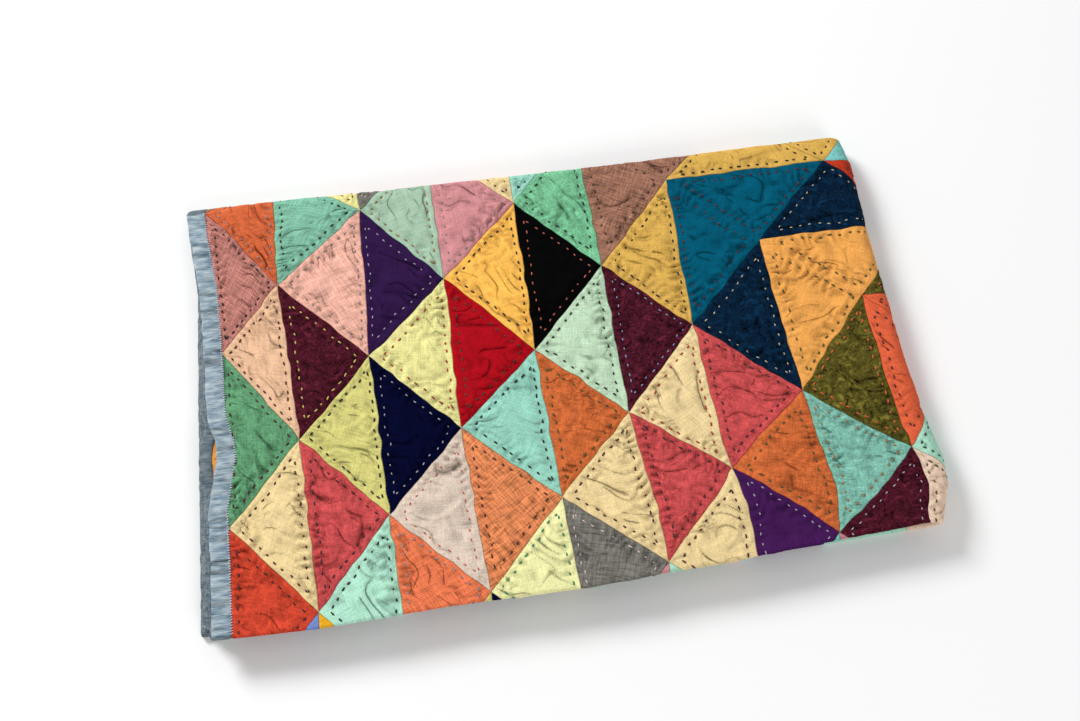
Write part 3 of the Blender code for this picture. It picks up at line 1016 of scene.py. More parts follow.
def dyed_cloth(weave):
    """Washed cloth of one weave, in the dye that each patch carries, with painted shade in its
    wrinkles, seams and creases.
    """
    streaks, streak_scale, drawn, clouds, cloud_scale, fuzz, painted_crest_light = FINISHES[weave]
    finish, tree, shader = new_finish(f"{weave}_cloth", Roughness=0.92, Specular_IOR_Level=0.04)
    uv = node(tree, "ShaderNodeUVMap", uv_map="cloth")
    folds = attribute(tree, "wrinkle")
    parts = node(tree, "ShaderNodeSeparateColor")
    tree.links.new(folds.outputs["Color"], parts.inputs[0])
    warp = threads(tree, uv, streak_scale, (1, drawn), 3.1).outputs["Fac"]
    weft = threads(tree, uv, streak_scale, (drawn, 1), 7.7).outputs["Fac"]
    cloud = threads(tree, uv, cloud_scale, (1, 1), 1.3).outputs["Fac"]
    fine = threads(tree, uv, FUZZ_SCALE, (1, 1), 5.3).outputs["Fac"]
    ridges = threads(tree, uv, CRUMPLE_SCALE, (1, 1), 9.1)
    ridges.noise_type = "RIDGED_MULTIFRACTAL"
    ridges.inputs["Distortion"].default_value = 1.5
    crumple = ridges.outputs["Fac"]
    # The wrinkles' lines are bumps and are also painted darker, as painted shade.
    large = fine_line(tree, parts.outputs[0], LARGE_LINE)
    large = math_node(tree, "MULTIPLY", large, parts.outputs[2])
    small = fine_line(tree, parts.outputs[1], SMALL_LINE)
    small = math_node(tree, "MULTIPLY", small, folds.outputs["Alpha"])
    # The seams' ditches are bumps and are also painted darker, as painted shade; the creases'
    # hollows are painted shade only.
    ditch = fine_line(tree, attribute(tree, "seam").outputs["Fac"], DITCH_MM)
    painted_shade = attribute(tree, "painted_shade").outputs["Fac"]
    middle = MEAN_SHADE - 0.5 * (2 * streaks + clouds + fuzz) - CRUMPLE_MEAN * painted_crest_light
    weave_shades = ((warp, streaks), (weft, streaks), (cloud, clouds), (fine, fuzz))
    # The crumple's crests are painted lighter, a painted sheen, in velvet and washed cloth, and a
    # little darker, painted shade, in the rest.
    painted_fold_light = ((large, -0.12), (small, -0.10), (crumple, painted_crest_light))
    painted_seam_shade = ((ditch, -0.35), (painted_shade, -0.26))
    shade = weighted_sum(tree, middle, weave_shades + painted_fold_light + painted_seam_shade)
    weave_heights = ((warp, 0.14), (weft, 0.14), (fine, 0.25))
    fold_heights = ((crumple, -0.85), (large, -1.4), (small, -1.1), (ditch, -0.7))
    height = weighted_sum(tree, 0.0, weave_heights + fold_heights)
    colour = dimmed(tree, attribute(tree, "dye").outputs["Color"], shade)
    finish_shader(tree, shader, colour, height, 0.9, 0.001)
    return finish


cloth_finishes = [dyed_cloth(weave) for weave in WEAVES]


def new_piece(name, points, faces):
    """An object and its smooth mesh."""
    mesh = bpy.data.meshes.new(name)
    mesh.from_pydata(points.reshape(-1, 3).tolist(), [], faces)
    mesh.update()
    mesh.shade_smooth()
    piece = bpy.data.objects.new(name, mesh)
    bpy.context.collection.objects.link(piece)
    return piece, mesh


def corner_points(mesh):
    """The number of the point at each corner of each face."""
    numbers = np.empty(len(mesh.loops), int)
    mesh.loops.foreach_get("vertex_index", numbers)
    return numbers


def mark_points(mesh, name, values):
    """A number at each point of a mesh, for its shader."""
    mesh.attributes.new(name, "FLOAT", "POINT").data.foreach_set("value", values.ravel())


GRAIN_TURN = math.radians(32)


def cloth_piece(name, points, faces, columns, rows, is_back, painted_shade, folds):
    """A cloth mesh with its dyes, weaves, flat grain and painted shade. columns and rows are per
    vertex.
    """
    piece, mesh = new_piece(name, points, faces)
    count = len(mesh.polygons)
    totals = np.empty(count, int)
    mesh.polygons.foreach_get("loop_total", totals)
    corners = corner_points(mesh)
    face_of = np.repeat(np.arange(count), totals)
    middle_column = np.bincount(face_of, columns[corners], count) / totals
    middle_row = np.bincount(face_of, rows[corners], count) / totals
    cloth = np.where(is_back, CLOTH_NUMBER["backing"], cloth_of(middle_column, middle_row))
    colours = np.array([[*linear(row[1]), 1.0] for row in CLOTHS])
    weaves = np.array([WEAVES.index(row[2]) for row in CLOTHS])
    mesh.polygons.foreach_set("material_index", weaves[cloth])
    dye = mesh.attributes.new("dye", "FLOAT_COLOR", "CORNER")
    dye.data.foreach_set("color", colours[cloth][face_of].ravel())
    mark_points(mesh, "seam", seam_reach(columns, rows))
    mark_points(mesh, "painted_shade", painted_shade)
    wrinkle = mesh.attributes.new("wrinkle", "FLOAT_COLOR", "POINT")
    wrinkle.data.foreach_set("color", folds.ravel())
    grain = patch_grain(middle_column, middle_row)[face_of]
    turn = GRAIN_TURN * grain[:, 0]
    u, v = columns[corners] * CELL, rows[corners] * CELL
    across = u * np.cos(turn) - v * np.sin(turn) + grain[:, 1]
    down = u * np.sin(turn) + v * np.cos(turn) + grain[:, 2]
    flat = mesh.uv_layers.new(name="cloth")
    flat.data.foreach_set("uv", np.stack([across, down], axis=1).ravel())
    for finish in cloth_finishes:
        mesh.materials.append(finish)
    return piece


def four_corners(ids, i, j):
    """The points of one small quad, in order round it."""
    return tuple(int(n) for n in (ids[i, j], ids[i + 1, j], ids[i + 1, j + 1], ids[i, j + 1]))


def two_triangles(corners, even):
    """The quad cut in two along the slanting seams, which run both ways."""
    a, b, c, d = corners
    return [(a, b, c), (a, c, d)] if even else [(a, b, d), (b, c, d)]


# The top panel's mesh: points on each cell, and where it meets the rest of the cloth.
FINE = 40
BACK_STEP = 3
TOP_FIRST_ROW = -0.5
TOP_ALIGNED_STEPS = 204
NEAR_FOLD_POINTS = 7
TOP_COLUMN_STEPS = 348
TOP_LAST_COLUMN = TOP_COLUMN_STEPS / FINE
SHORT_OF_UPPER = 0.0002
TOP_LAST_ROW = (V_UPPER - SHORT_OF_UPPER) / CELL
ALLOWANCE_SHARES = np.array([1, 0.72, 0.48, 0.3, 0.18, 0.08])
FADE = 0.012
NEAR_FADE = 0.004
# How far a point lies below its neighbours' mean for full painted shade in the creases, and how
# many steps away those neighbours go.
HOLLOW_DEPTH = 0.0005
HOLLOW_REACH = 2
THINNEST = 0.0006


def seam_reach(column, row):
    """Millimetres from the nearest seam, with the mitre seam left out."""
    nearest = np.min(np.stack(seam_distances(column, row)), axis=0)
    return 1000 * nearest + 2 * on_mitre(column, row)


def blurred(values, reach):
    """The mean of each point's neighbours, this many steps either way."""
    padded = np.pad(values, reach, mode="edge")
    total = np.zeros_like(values)
    for i in range(2 * reach + 1):
        for j in range(2 * reach + 1):
            total += padded[i : i + values.shape[0], j : j + values.shape[1]]
    return total / (2 * reach + 1) ** 2


def kept_thick(relief, half):
    """The relief, with hollows that would reach the underside made shallower."""
    deepest = 2 * half - THINNEST
    return np.where(relief < 0, deepest * np.tanh(relief / deepest), relief)


def panel_faces(front_id, back_id, even):
    """Faces of a fine front, a coarse back and the borders, and which of them are the back."""
    faces = []
    for i, j in np.ndindex(front_id.shape[0] - 1, front_id.shape[1] - 1):
        faces += two_triangles(four_corners(front_id, i, j), even[i, j])
    back_start = len(faces)
    for i, j in np.ndindex(back_id.shape[0] - 1, back_id.shape[1] - 1):
        a, b, c, d = four_corners(back_id, i, j)
        faces.append((a, d, c, b))
    border_start = len(faces)
    borders = (
        (front_id[0], back_id[0], True),
        (front_id[-1], back_id[-1], False),
        (front_id[:, 0], back_id[:, 0], False),
        (front_id[:, -1], back_id[:, -1], True),
    )
    for outer, inner, turned in borders:
        for k in range(len(inner) - 1):
            edge_points = outer[BACK_STEP * k : BACK_STEP * (k + 1) + 1]
            ring = (*edge_points, inner[k + 1], inner[k])
            faces.append(tuple(int(n) for n in (ring if turned else ring[::-1])))
    number = np.arange(len(faces))
    return faces, (number >= back_start) & (number < border_start)


def top_panel():
    """The exposed panel with its near fold, far wrap and crosswise fold: a closed thin sheet."""
    rows = np.arange(round(TOP_FIRST_ROW * FINE), TOP_ALIGNED_STEPS + 1) / FINE
    last = np.linspace(rows[-1], TOP_LAST_ROW, NEAR_FOLD_POINTS + 1)[1:]
    rows = np.concatenate([rows, last])
    aligned_columns = np.arange(0, TOP_COLUMN_STEPS + 1) / FINE
    columns = np.concatenate([FIRST_COLUMN * ALLOWANCE_SHARES, aligned_columns])
    row, column = np.meshgrid(rows, columns, indexing="ij")
    u, v = flat_place(column, row)
    free = out_of_binding(u, v)
    edge = rise((TOP_LAST_COLUMN - column) * CELL, 0, FADE)
    edge = edge * rise((TOP_LAST_ROW - row) * CELL, 0, NEAR_FADE)
    edge = edge * rise((row - TOP_FIRST_ROW) * CELL, 0, FADE)
    pulled, creased = quilting(column, row)
    relief = (pulled + creased - stitch_dimples(column, row)) * free * edge
    half = half_thickness(free)
    front = on_cloth(u, v, half + kept_thick(relief, half))
    each = (slice(None, None, BACK_STEP),) * 2
    back = on_cloth(u[each], v[each], -half[each])
    front_id = np.arange(column.size).reshape(column.shape)
    back_id = column.size + np.arange(back[..., 0].size).reshape(back.shape[:2])
    even = (np.floor(column + 0.5 / FINE) + np.floor(row + 0.5 / FINE)) % 2 == 0
    faces, is_back = panel_faces(front_id, back_id, even)
    points = np.concatenate([front.reshape(-1, 3), back.reshape(-1, 3)])
    columns = np.concatenate([column.ravel(), column[each].ravel()])
    rows = np.concatenate([row.ravel(), row[each].ravel()])
    # Painted shade: points lying below their neighbours' mean, in the creases' hollows, are
    # painted darker.
    depth = blurred(creased, HOLLOW_REACH) - creased
    painted_shade = np.clip(depth / HOLLOW_DEPTH, 0, 1) * free
    painted_shade = np.concatenate([painted_shade.ravel(), np.zeros(back[..., 0].size)])
    folds = np.stack(wrinkles(columns, rows), axis=1)
    return cloth_piece("top_panel", points, faces, columns, rows, is_back, painted_shade, folds)


quilt_top = top_panel()
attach(quilt_top, "root")
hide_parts("quilt_body")


# Quilted cloth, the folds below
# The same cloth goes on round the folds: three more panels of the upper half, and the four
# of the under half, of which the lowest lies flat on the floor.

# Steps to a cell along the rows and round the folds that show, and steps in one whole fold.
FOLD_STEPS = 24
SMALL_FOLD_STEPS = 8
CROSS_FOLD_STEPS = 12

# How the mesh is spaced beside folds, notch and binding, and how close its rows may come.
BESIDE_FOLD = 0.006
NOTCH_STEP = 0.006
CLOSEST = 0.0004
INSIDE_BINDING = (EDGE_GAP, 0.0172, 0.0190)
BESIDE_TOP_BINDING = (0, 0.03, 0.07)
BESIDE_UNDER_BINDING = (0.13, 0.21)

# Cloth that hardly shows has an even painted shade, a little darker, and faint wrinkles.
HIDDEN_PAINTED_SHADE = 0.1
HIDDEN_WRINKLES = 0.2


def stations(first, last, step, extra):
    """Places from first to last at multiples of a step, with some more that have to be there."""
    inner = np.arange(math.ceil(first / step), math.floor(last / step) + 1) * step
    every = np.concatenate([inner, np.array(extra), [first, last]])
    every = np.unique(np.round(every[(every >= first) & (every <= last)], 7))
    keep = np.concatenate([[True], np.diff(every) > CLOSEST / CELL])
    keep |= np.isin(every, np.round(extra, 7))
    return every[keep]


def fold_rows():
    """Rows of the lower cloth's mesh: close together in folds, in the notch and at the ends."""
    places = []
    for start in (V_NEAR_FOLD, V_INNER_FOLD):
        places += list(start + SMALL_ARC * np.linspace(0, 1, SMALL_FOLD_STEPS + 1))
    ends = [row[0] for row in BOUND_ENDS if NEAR_FOLD_Y < row[0] < FAR_FOLD_Y]
    beside_notch = [NOTCH_Y + NOTCH_STEP * step for step in range(-6, 7)]
    for panel, _, _, middle_v, growing in PANELS:
        shown = ends + beside_notch if panel in NOTCH_SHARES else ends
        places += [middle_v + growing * y for y in shown]
    places += [V_INNER_END + distance for distance in INSIDE_BINDING]
    places += [V_OUTER_END - distance for distance in INSIDE_BINDING]
    rows = [TOP_FIRST_ROW, TOP_LAST_ROW] + [place / CELL for place in places]
    for first, last in ((V_INNER, V_WRAP), (V_NEAR_FOLD, V_UPPER)):
        first_step = round((first - BESIDE_FOLD) / CELL * FOLD_STEPS)
        last_step = round((last + BESIDE_FOLD) / CELL * FOLD_STEPS)
        rows += [step / FOLD_STEPS for step in range(first_step, last_step + 1)]
    return stations((V_INNER_END + EDGE_GAP) / CELL, (V_OUTER_END - EDGE_GAP) / CELL, 1, rows)


def fold_columns():
    """Columns of the lower cloth's mesh, with its edges and the crosswise fold."""
    last = U_END / CELL
    places = list((CROSS_FOLD_X + TURN_ARC * np.linspace(0, 1, CROSS_FOLD_STEPS + 1)) / CELL)
    places += [*(FIRST_COLUMN * ALLOWANCE_SHARES[1:4]), *BESIDE_TOP_BINDING, TOP_LAST_COLUMN]
    places += [last - distance for distance in BESIDE_UNDER_BINDING]
    return stations(FIRST_COLUMN, last, 1 / FOLD_STEPS, places)


def folds_below():
    """All of the cloth but the top panel: a closed sheet that meets it edge to edge."""
    rows, columns = fold_rows(), fold_columns()
    row, column = np.meshgrid(rows, columns, indexing="ij")
    u, v = flat_place(column, row)
    half = half_thickness(out_of_binding(u, v))
    points = np.stack([on_cloth(u, v, half), on_cloth(u, v, -half)]).reshape(-1, 3)
    middle_row = (rows[:-1] + rows[1:]) / 2
    middle_column = (columns[:-1] + columns[1:]) / 2
    in_rows = (middle_row > TOP_FIRST_ROW) & (middle_row < TOP_LAST_ROW)
    in_columns = middle_column < TOP_LAST_COLUMN
    kept = np.pad(~(in_rows[:, None] & in_columns[None, :]), 1)
    even = (np.floor(middle_column)[None, :] + np.floor(middle_row)[:, None]) % 2 == 0
    below = column.size
    ids = np.arange(below).reshape(column.shape)
    faces, is_back = [], []
    for i, j in zip(*np.nonzero(kept[1:-1, 1:-1])):
        a, b, c, d = four_corners(ids, i, j)
        faces += two_triangles((a, b, c, d), even[i, j])
        faces.append((d + below, c + below, b + below, a + below))
        is_back += [False, False, True]
        for di, dj, start, end in ((-1, 0, a, d), (1, 0, c, b), (0, -1, b, a), (0, 1, d, c)):
            if not kept[i + 1 + di, j + 1 + dj]:
                faces.append((start, end, end + below, start + below))
                is_back.append(False)
    used = np.unique(np.concatenate([np.array(face) for face in faces]))
    renumber = np.zeros(len(points), int)
    renumber[used] = np.arange(len(used))
    faces = [tuple(int(renumber[k]) for k in face) for face in faces]
    columns = np.tile(column.ravel(), 2)[used]
    rows = np.tile(row.ravel(), 2)[used]
    painted_shade = np.full(len(used), HIDDEN_PAINTED_SHADE)
    folds = np.stack(wrinkles(columns, rows), axis=1)
    folds[:, 2:] *= HIDDEN_WRINKLES
    is_back = np.array(is_back)
    return cloth_piece("folds_below", points[used], faces, columns, rows, is_back, painted_shade, folds)


quilt_folds = folds_below()
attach(quilt_folds, "root")
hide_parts("quilt_body")


# Binding
# Strips of washed blue chambray are folded over the quilt's four edges and sewn through.
# They have shrunk on their seams, so they are gathered all along.

GATHER = 0.00060
GATHER_LENGTH = 0.0044
PINCH = 0.0016
PINCH_LENGTH = 0.0052
PINCH_PEAKS = (0.62, 1.02)
HIDDEN_GATHER_SHARE = 0.35
# Painted shade over the binding on the lower layers: mostly the shade between the layers, and
# partly its darker cloth there.
LOWER_SHADE = 0.80
EDGE_WANDER = 0.0005
EDGE_WANDER_LENGTH = 0.009
BESIDE_SIDE_STRIP = 0.0006

# The deepest tucks across the strip that shows: columns are v, depth, width and slant over the
# strip's width, with v, width and slant in mm.
TUCKS = (
    (8, 0.4, 1.6, 2),
    (20, 0.5, 1.5, 3),
    (47, 0.6, 1.4, -2),
    (64, 1.1, 1.6, 2),
    (83, 1.1, 1.5, 3),
    (131, 0.4, 1.4, 2),
    (172, 0.4, 1.4, -3),
    (210, 0.8, 1.6, 2),
    (262, 0.5, 1.5, 3),
    (300, 0.8, 1.4, -2),
    (307, 0.6, 1.3, 2),
    (343, 1.0, 1.3, 3),
    (350, 1.1, 1.5, 2),
    (387, 0.5, 1.5, -2),
)
TUCK = 0.0013

# Gathers and tucks grow calmer towards the strip's folded and sewn edges: columns are calmest
# distance from the folded edge, full distance, least share.
CALM_AT_FOLD = (0, 0.003, 0.3)
CALM_AT_SEAM = (0.0182, 0.0170, 0.25)
CALM_TUCKS = (0.0186, 0.0146, 0.4)

# How far apart the rings of points of each strip are.
TOP_RING_STEP = 0.0011
UNDER_RING_STEP = 0.0028
END_RING_STEP = 0.004

# The strip's profile: columns are distance from the edge and offset from the middle, in mm.
BINDING_PROFILE = (
    (18.0, 1.15),
    (17.2, 1.35),
    (15.8, 1.85),
    (13.5, 2.0),
    (11.0, 1.95),
    (8.5, 2.0),
    (6.0, 1.9),
    (3.5, 1.8),
    (1.8, 1.6),
    (0.6, 1.1),
    (0.0, 0.4),
)
SLOT_MM = 0.7
END_WALL_MM = 0.9
BACK_MM = 1.6

# Offsets beyond the first are on the strip's two faces. The others are the limits where it
# lies between layers.
ON_FACE = 0.0008
SIDE_HALF = 0.0017
END_HALF = 0.0016


def binding_ring():
    """The closed profile: front, folded edge, back, and the slot that holds the quilt."""
    front = list(BINDING_PROFILE)
    back = [(distance, -min(offset, BACK_MM)) for distance, offset in reversed(front)]
    width = front[0][0]
    slot = [(width, -SLOT_MM), (END_WALL_MM, -SLOT_MM), (END_WALL_MM, SLOT_MM), (width, SLOT_MM)]
    return np.array(front + back + slot) / 1000


CHAMBRAY_BLUE = "58738A"
CHAMBRAY_PALE = "BAC8CC"
CHAMBRAY_THREADS = 900
CHAMBRAY_STREAKS = 180


def chambray():
    """Blue chambray with white weft, streaked across the strip, and painted darker, as painted
    shade, in its gathers and tucks and where it lies on lower layers.
    """
    finish, tree, shader = new_finish(
        "chambray", Roughness=0.9, Specular_IOR_Level=0.2, Sheen_Weight=0.12
    )
    uv = node(tree, "ShaderNodeUVMap", uv_map="cloth")
    weft = threads(tree, uv, CHAMBRAY_THREADS, (1, 12), 2.2).outputs["Fac"]
    warp = threads(tree, uv, CHAMBRAY_THREADS, (20, 1), 4.1).outputs["Fac"]
    wide = threads(tree, uv, CHAMBRAY_STREAKS, (1, 3), 6.4).outputs["Fac"]
    streak = math_node(tree, "MULTIPLY", math_node(tree, "ADD", weft, wide), 0.5)
    blue, pale = linear(CHAMBRAY_BLUE), linear(CHAMBRAY_PALE)
    colour = colour_ramp(tree, streak, (0.36, blue), (0.64, pale))
    shade = weighted_sum(tree, 1.0, ((attribute(tree, "painted_shade").outputs["Fac"], -0.66),))
    height = math_node(tree, "ADD", warp, weft)
    finish_shader(tree, shader, dimmed(tree, colour, shade), height, 0.4, 0.0006)
    return finish


chambray_finish = chambray()


def binding_strip(name, rings, along, painted_shade):
    """A closed strip through rings of points, an array of ring, corner, place."""
    count, corners = rings.shape[:2]
    ids = np.arange(count * corners).reshape(count, corners)
    round_ids = np.concatenate([ids, ids[:, :1]], axis=1)
    faces = []
    for i, k in np.ndindex(count - 1, corners):
        a, b, c, d = four_corners(round_ids, i, k)
        faces.append((a, d, c, b))
    faces += [tuple(int(n) for n in ids[0][::-1]), tuple(int(n) for n in ids[-1])]
    piece, mesh = new_piece(f"{name}_strip", rings, faces)
    profile = binding_ring()
    place = np.concatenate([[0], np.cumsum(np.hypot(*np.diff(profile, axis=0).T))])
    flat = np.stack(np.broadcast_arrays(along[:, None], place[None, :]), axis=-1).reshape(-1, 2)
    mesh.uv_layers.new(name="cloth").data.foreach_set("uv", flat[corner_points(mesh)].ravel())
    mark_points(mesh, "painted_shade", np.clip(painted_shade, 0, 1))
    mesh.materials.append(chambray_finish)
    bpy.ops.object.select_all(action="DESELECT")
    piece.select_set(True)
    bpy.context.view_layer.objects.active = piece
    bpy.ops.object.mode_set(mode="EDIT")
    bpy.ops.mesh.select_all(action="SELECT")
    bpy.ops.mesh.normals_make_consistent(inside=False)
    bpy.ops.object.mode_set(mode="OBJECT")
    bpy.ops.object.select_all(action="DESELECT")
    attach(piece, "root")
    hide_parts(name)
    return piece


def gathers(along, distance, offset, seed, strength):
    """Offsets of the strip's profile with its gathers, and how much painted shade each place has.
    """
    ripple = soft_noise(along, distance * 0.25, GATHER_LENGTH, seed)
    ripple = ripple + 0.6 * soft_noise(along, distance * 0.25, GATHER_LENGTH * 0.5, seed + 1)
    peaks = soft_noise(along, distance * 0.1, PINCH_LENGTH, seed + 2)
    pinch = rise(peaks, *PINCH_PEAKS)
    calm = rise(distance, *CALM_AT_FOLD) * rise(distance, *CALM_AT_SEAM)
    move = strength * calm * (GATHER * ripple - PINCH * pinch)
    # Painted shade: the gathers' pinches are painted darker.
    painted_shade = strength * np.clip(0.55 * pinch - 0.30 * ripple, 0, 1)
    moved = offset + np.sign(offset) * move
    return np.where(np.abs(offset) > ON_FACE, moved, offset), painted_shade


def tucks(v, distance):
    """How deep each place of the shown strip lies in one of its tucks."""
    depth = np.zeros_like(v)
    for place, share, width, slant in TUCKS:
        off = (v - place / 1000 - slant / 1000 * (distance / BINDING_WIDTH - 0.5)) * 1000
        depth += share * bell(off, width)
    return depth * rise(distance, *CALM_TUCKS)


def side_rings(side, step):
    """Rings of the strip on one side edge, which follows all the panels of its half."""
    top = side == "top"
    sign = 1 if top else -1
    along = np.append(np.arange(V_INNER_END, V_OUTER_END, step), V_OUTER_END)
    ring = binding_ring()
    v, distance = np.meshgrid(along, ring[:, 0], indexing="ij")
    offset = np.broadcast_to(ring[:, 1], v.shape)
    y, h, ny, nh = section(v)
    outermost = (v > V_WRAP) & (v < V_NEAR_FOLD)
    shown = top & outermost
    strength = np.where(shown, 1.0, HIDDEN_GATHER_SHARE)
    offset, painted_shade = gathers(v, distance, offset, 41 if top else 51, strength)
    if top:
        tucked = tucks(v, distance)
        offset = np.where(offset > ON_FACE, offset - TUCK * tucked, offset)
        # The tucks are painted darker too, as painted shade.
        painted_shade = painted_shade + 0.85 * tucked
    # Where the strip lies on the lower layers it is painted darker all over, as painted shade.
    painted_shade = np.where(shown, painted_shade, LOWER_SHADE + 0.5 * painted_shade)
    offset = np.where(shown, offset, np.clip(offset, -SIDE_HALF, SIDE_HALF))
    if not top:
        offset = np.where(outermost, np.minimum(offset, PLY / 2), offset)
    edge = bound_end(y, sign * h) + EDGE_WANDER * soft_noise(v, v * 0, EDGE_WANDER_LENGTH, 44)
    distance = distance * (1 - NARROWED * notch(y, sign * h, "lower"))
    radius = h + nh * offset
    return laid(edge + distance, y + ny * offset, MIDDLE_Z + sign * radius), along, painted_shade


def end_rings(height, facing, step):
    """Rings of the strip on one end, which lies between the layers and turns with them."""
    ring = binding_ring()
    start = BINDING_WIDTH + BESIDE_SIDE_STRIP
    along = np.arange(start, U_END - BINDING_WIDTH, step)
    u, distance = np.meshgrid(along, ring[:, 0], indexing="ij")
    offset = np.clip(np.broadcast_to(ring[:, 1], u.shape), -END_HALF, END_HALF)
    y = NEAR_FOLD_Y + FREE_END_SET_BACK + distance
    top_start = bound_end(y, np.full_like(y, height)) + start
    under_start = bound_end(y, np.full_like(y, -height)) + start
    turned_x, z = round_crosswise(u, height + facing * offset)
    x = top_start + rise(u, start, CROSS_FOLD_X) * (CROSS_FOLD_X - top_start)
    x = np.where(u > CROSS_FOLD_X, turned_x, x)
    under = CROSS_FOLD_X + rise(u, U_UNDER, along[-1]) * (under_start - CROSS_FOLD_X)
    x = np.where(u > U_UNDER, under, x)
    # The end strips lie between the layers and are painted darker all over, as painted shade.
    return laid(x, y, z), along, np.full(u.shape, LOWER_SHADE)


outer_end = end_rings(PANEL_HEIGHTS["lower"], 1, END_RING_STEP)
inner_end = end_rings(PANEL_HEIGHTS["inner"], -1, END_RING_STEP)
bindings = [
    binding_strip("side_binding_top", *side_rings("top", TOP_RING_STEP)),
    binding_strip("side_binding_under", *side_rings("under", UNDER_RING_STEP)),
    binding_strip("end_binding_outer", *outer_end),
    binding_strip("end_binding_inner", *inner_end),
]


# Running stitches
# Thick cotton thread, sewn by hand through all three layers. About 3 mm of each stitch shows
# and its ends are in the cloth. Every cloth has its own colour of thread.

# Columns are name, colour, share of the usual thickness.
THREADS = {
    "ash": ("9B8D86", 1.0),
    "black": ("141216", 1.0),
    "orange": ("D2642E", 1.0),
    "umber": ("4A2A1C", 1.0),
    "tan": ("A27C46", 1.0),
    "maroon": ("4C1A20", 1.0),
    "white": ("B4AEBE", 0.7),
    "coral": ("CC6250", 0.75),
    "cream": ("CBBF9F", 0.7),
    "olive": ("4E5320", 1.0),
    "gold": ("DDC66A", 0.85),
    "ice": ("90A4C8", 0.7),
    "brick": ("A63A24", 1.0),
    "leaf": ("3F8A63", 1.0),
    "blush": ("D9BDB8", 0.85),
    "pearl": ("DFE3F3", 1.0),
}
THREAD_NAMES = list(THREADS)
STITCH_LENGTH = 0.0045
STITCH_REACH = 0.0016
THREAD_RADIUS = 0.00086
STITCH_SIDES = 6
STITCH_LENGTH_SPREAD = (0.8, 1.2)
STITCH_TURN = 0.10
SUNK_AT_FOLD = 0.0006
ABOVE_CLOTH = 0.0004

# Where stitches start to sink and where they are down, at the far fold and the crosswise one.
SINKING_ROWS = (-0.16, -0.30)
SINKING_COLUMNS = (8.22, 8.38)

# Along one stitch: columns are place from -1 to 1, share of the radius, height in radii.
STITCH_SHAPE = (
    (-1.00, 0.35, -1.3),
    (-0.72, 0.85, -0.2),
    (0.00, 1.00, 0.35),
    (0.72, 0.85, -0.2),
    (1.00, 0.35, -1.3),
)


def thread_finish(name):
    """Dull twisted cotton thread."""
    finish, tree, shader = new_finish(
        f"thread_{name}", Roughness=0.75, Specular_IOR_Level=0.3, Sheen_Weight=0.15
    )
    places = node(tree, "ShaderNodeTexCoord")
    noise = node(tree, "ShaderNodeTexNoise", Scale=900.0, Detail=2.0)
    tree.links.new(places.outputs["Object"], noise.inputs["Vector"])
    twist = noise.outputs["Fac"]
    colour = linear(THREADS[name][0])
    dark = [0.55 * part for part in colour]
    light = [min(1, 1.15 * part) for part in colour]
    tone = colour_ramp(tree, twist, (0.3, dark), (0.7, light))
    finish_shader(tree, shader, tone, twist, 0.3, 0.0003)
    return finish


def unit(vectors):
    """The vectors, one to a row, brought to length 1."""
    return vectors / np.linalg.norm(vectors, axis=1, keepdims=True)


def stitch_mesh(name, middles, tangents, normals, length, radius, numbers, finishes):
    """One joined mesh of stitches. middles, tangents and normals are arrays of vectors."""
    sideways = unit(np.cross(normals, tangents))
    rings = []
    for place, share, height in STITCH_SHAPE:
        centre = middles + tangents * (place * length / 2)[:, None]
        centre = centre + normals * height * radius
        for side in range(STITCH_SIDES):
            angle = 2 * math.pi * side / STITCH_SIDES
            out = sideways * math.cos(angle) + normals * math.sin(angle)
            rings.append(centre + out * radius * share)
    points = np.stack(rings, axis=1)
    each = points.shape[1]
    pattern = []
    for low in range(0, each - STITCH_SIDES, STITCH_SIDES):
        for side in range(STITCH_SIDES):
            following = (side + 1) % STITCH_SIDES
            high = low + STITCH_SIDES
            pattern.append((low + side, low + following, high + following, high + side))
    pattern.append(tuple(range(STITCH_SIDES))[::-1])
    pattern.append(tuple(range(each - STITCH_SIDES, each)))
    faces = [tuple(each * n + k for k in face) for n in range(len(points)) for face in pattern]
    piece, mesh = new_piece(name, points, faces)
    mesh.polygons.foreach_set("material_index", np.repeat(numbers, len(pattern)))
    for finish in finishes:
        mesh.materials.append(finish)
    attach(piece, "root")
    return piece


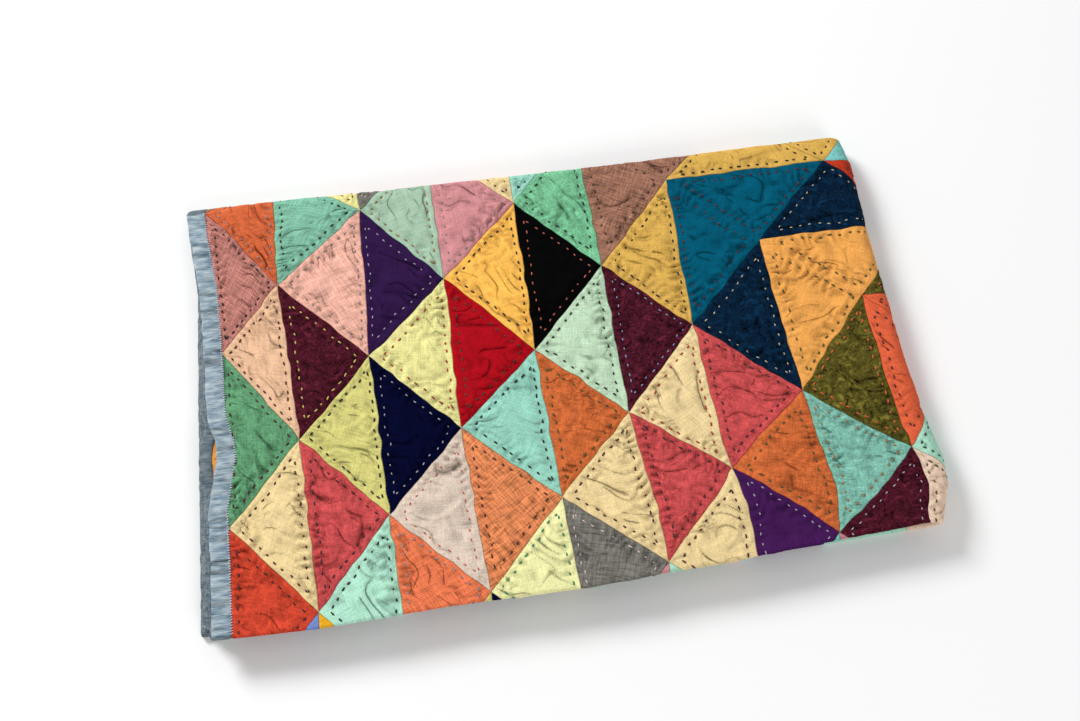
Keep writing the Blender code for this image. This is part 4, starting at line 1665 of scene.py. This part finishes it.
def running_stitches():
    """All the stitches that show, each laid on the quilted surface."""
    column, row = stitches[:, 0], stitches[:, 1]
    heading = stitches[:, 2:4]
    lot = np.random.default_rng(8)
    threads_of = np.array([THREAD_NAMES.index(row[3]) for row in CLOTHS])
    numbers = threads_of[stitches[:, 4].astype(int)]
    thickness = np.array([share for _, share in THREADS.values()])[numbers]
    spread = lot.uniform(*STITCH_LENGTH_SPREAD, len(stitches))
    lengths = STITCH_LENGTH * thickness * spread
    turn = lot.normal(0, STITCH_TURN, len(stitches))
    ahead_column = heading[:, 0] * np.cos(turn) - heading[:, 1] * np.sin(turn)
    ahead_row = heading[:, 0] * np.sin(turn) + heading[:, 1] * np.cos(turn)
    pulled, creased = quilting(column, row)
    relief = kept_thick(pulled + creased - STITCH_DIMPLE, PLY / 2)
    sinking = rise(row, *SINKING_ROWS) + rise(column, *SINKING_COLUMNS)
    level = PLY / 2 + relief + ABOVE_CLOTH - SUNK_AT_FOLD * sinking

    def point(reach, extra):
        """The stitches' places, this far along each of them and this high over the cloth."""
        u, v = flat_place(column + ahead_column * reach / CELL, row + ahead_row * reach / CELL)
        return on_cloth(u, v, level + extra)

    middles = point(0, 0)
    tangents = unit(point(STITCH_REACH, 0) - point(-STITCH_REACH, 0))
    normals = unit(point(0, 0.001) - middles)
    finishes = [thread_finish(name) for name in THREAD_NAMES]
    radii = THREAD_RADIUS * thickness[:, None]
    return stitch_mesh(
        "running_stitches", middles, tangents, normals, lengths, radii, numbers, finishes
    )


hand_stitches = running_stitches()


# Stitching of the binding
# Small close stitches of pale thread hold the strip's inner edge down on the patchwork.

EDGE_STITCH_SPACING = 0.0025
EDGE_STITCH_LENGTH = 0.0027
EDGE_THREAD_RADIUS = 0.00044
KNOT_V = 0.113
KNOT_INSET = 0.0095
KNOT_RADIUS = 0.0009
EDGE_THREAD_HEIGHT = 0.0005
KNOT_HEIGHT = 0.0003
EDGE_STITCH_SLANT = 0.35
EDGE_SLANT_SPREAD = 0.12
EDGE_STITCH_DIP = 0.25
EDGE_STITCH_INSET = 0.0002


def edge_stitches():
    """Slanting stitches over the inner edge of the binding that shows."""
    v = np.arange(V_WRAP, V_NEAR_FOLD, EDGE_STITCH_SPACING)
    y, h, _, _ = section(v)
    x = bound_end(y, h) + BINDING_WIDTH - EDGE_STITCH_INSET
    z = MIDDLE_Z + h + PLY / 2 + EDGE_THREAD_HEIGHT
    x = np.append(x, bound_end(-KNOT_V, h[0]) + KNOT_INSET)
    y = np.append(y, -KNOT_V)
    z = np.append(z, z[-1] + KNOT_HEIGHT)
    count = len(x)
    lot = np.random.default_rng(4)
    slant = lot.normal(EDGE_STITCH_SLANT, EDGE_SLANT_SPREAD, count)
    dip = np.full(count, -EDGE_STITCH_DIP)
    tangents = unit(np.stack([np.cos(slant), np.sin(slant), dip], axis=1))
    normals = np.tile([0.0, 0.0, 1.0], (count, 1))
    lengths = EDGE_STITCH_LENGTH * lot.uniform(*STITCH_LENGTH_SPREAD, count)
    radii = np.full((count, 1), EDGE_THREAD_RADIUS)
    radii[-1] = KNOT_RADIUS
    numbers = np.zeros(count, int)
    finishes = [bpy.data.materials["thread_pearl"]]
    return stitch_mesh(
        "edge_stitches", laid(x, y, z), tangents, normals, lengths, radii, numbers, finishes
    )


binding_stitches = edge_stitches()
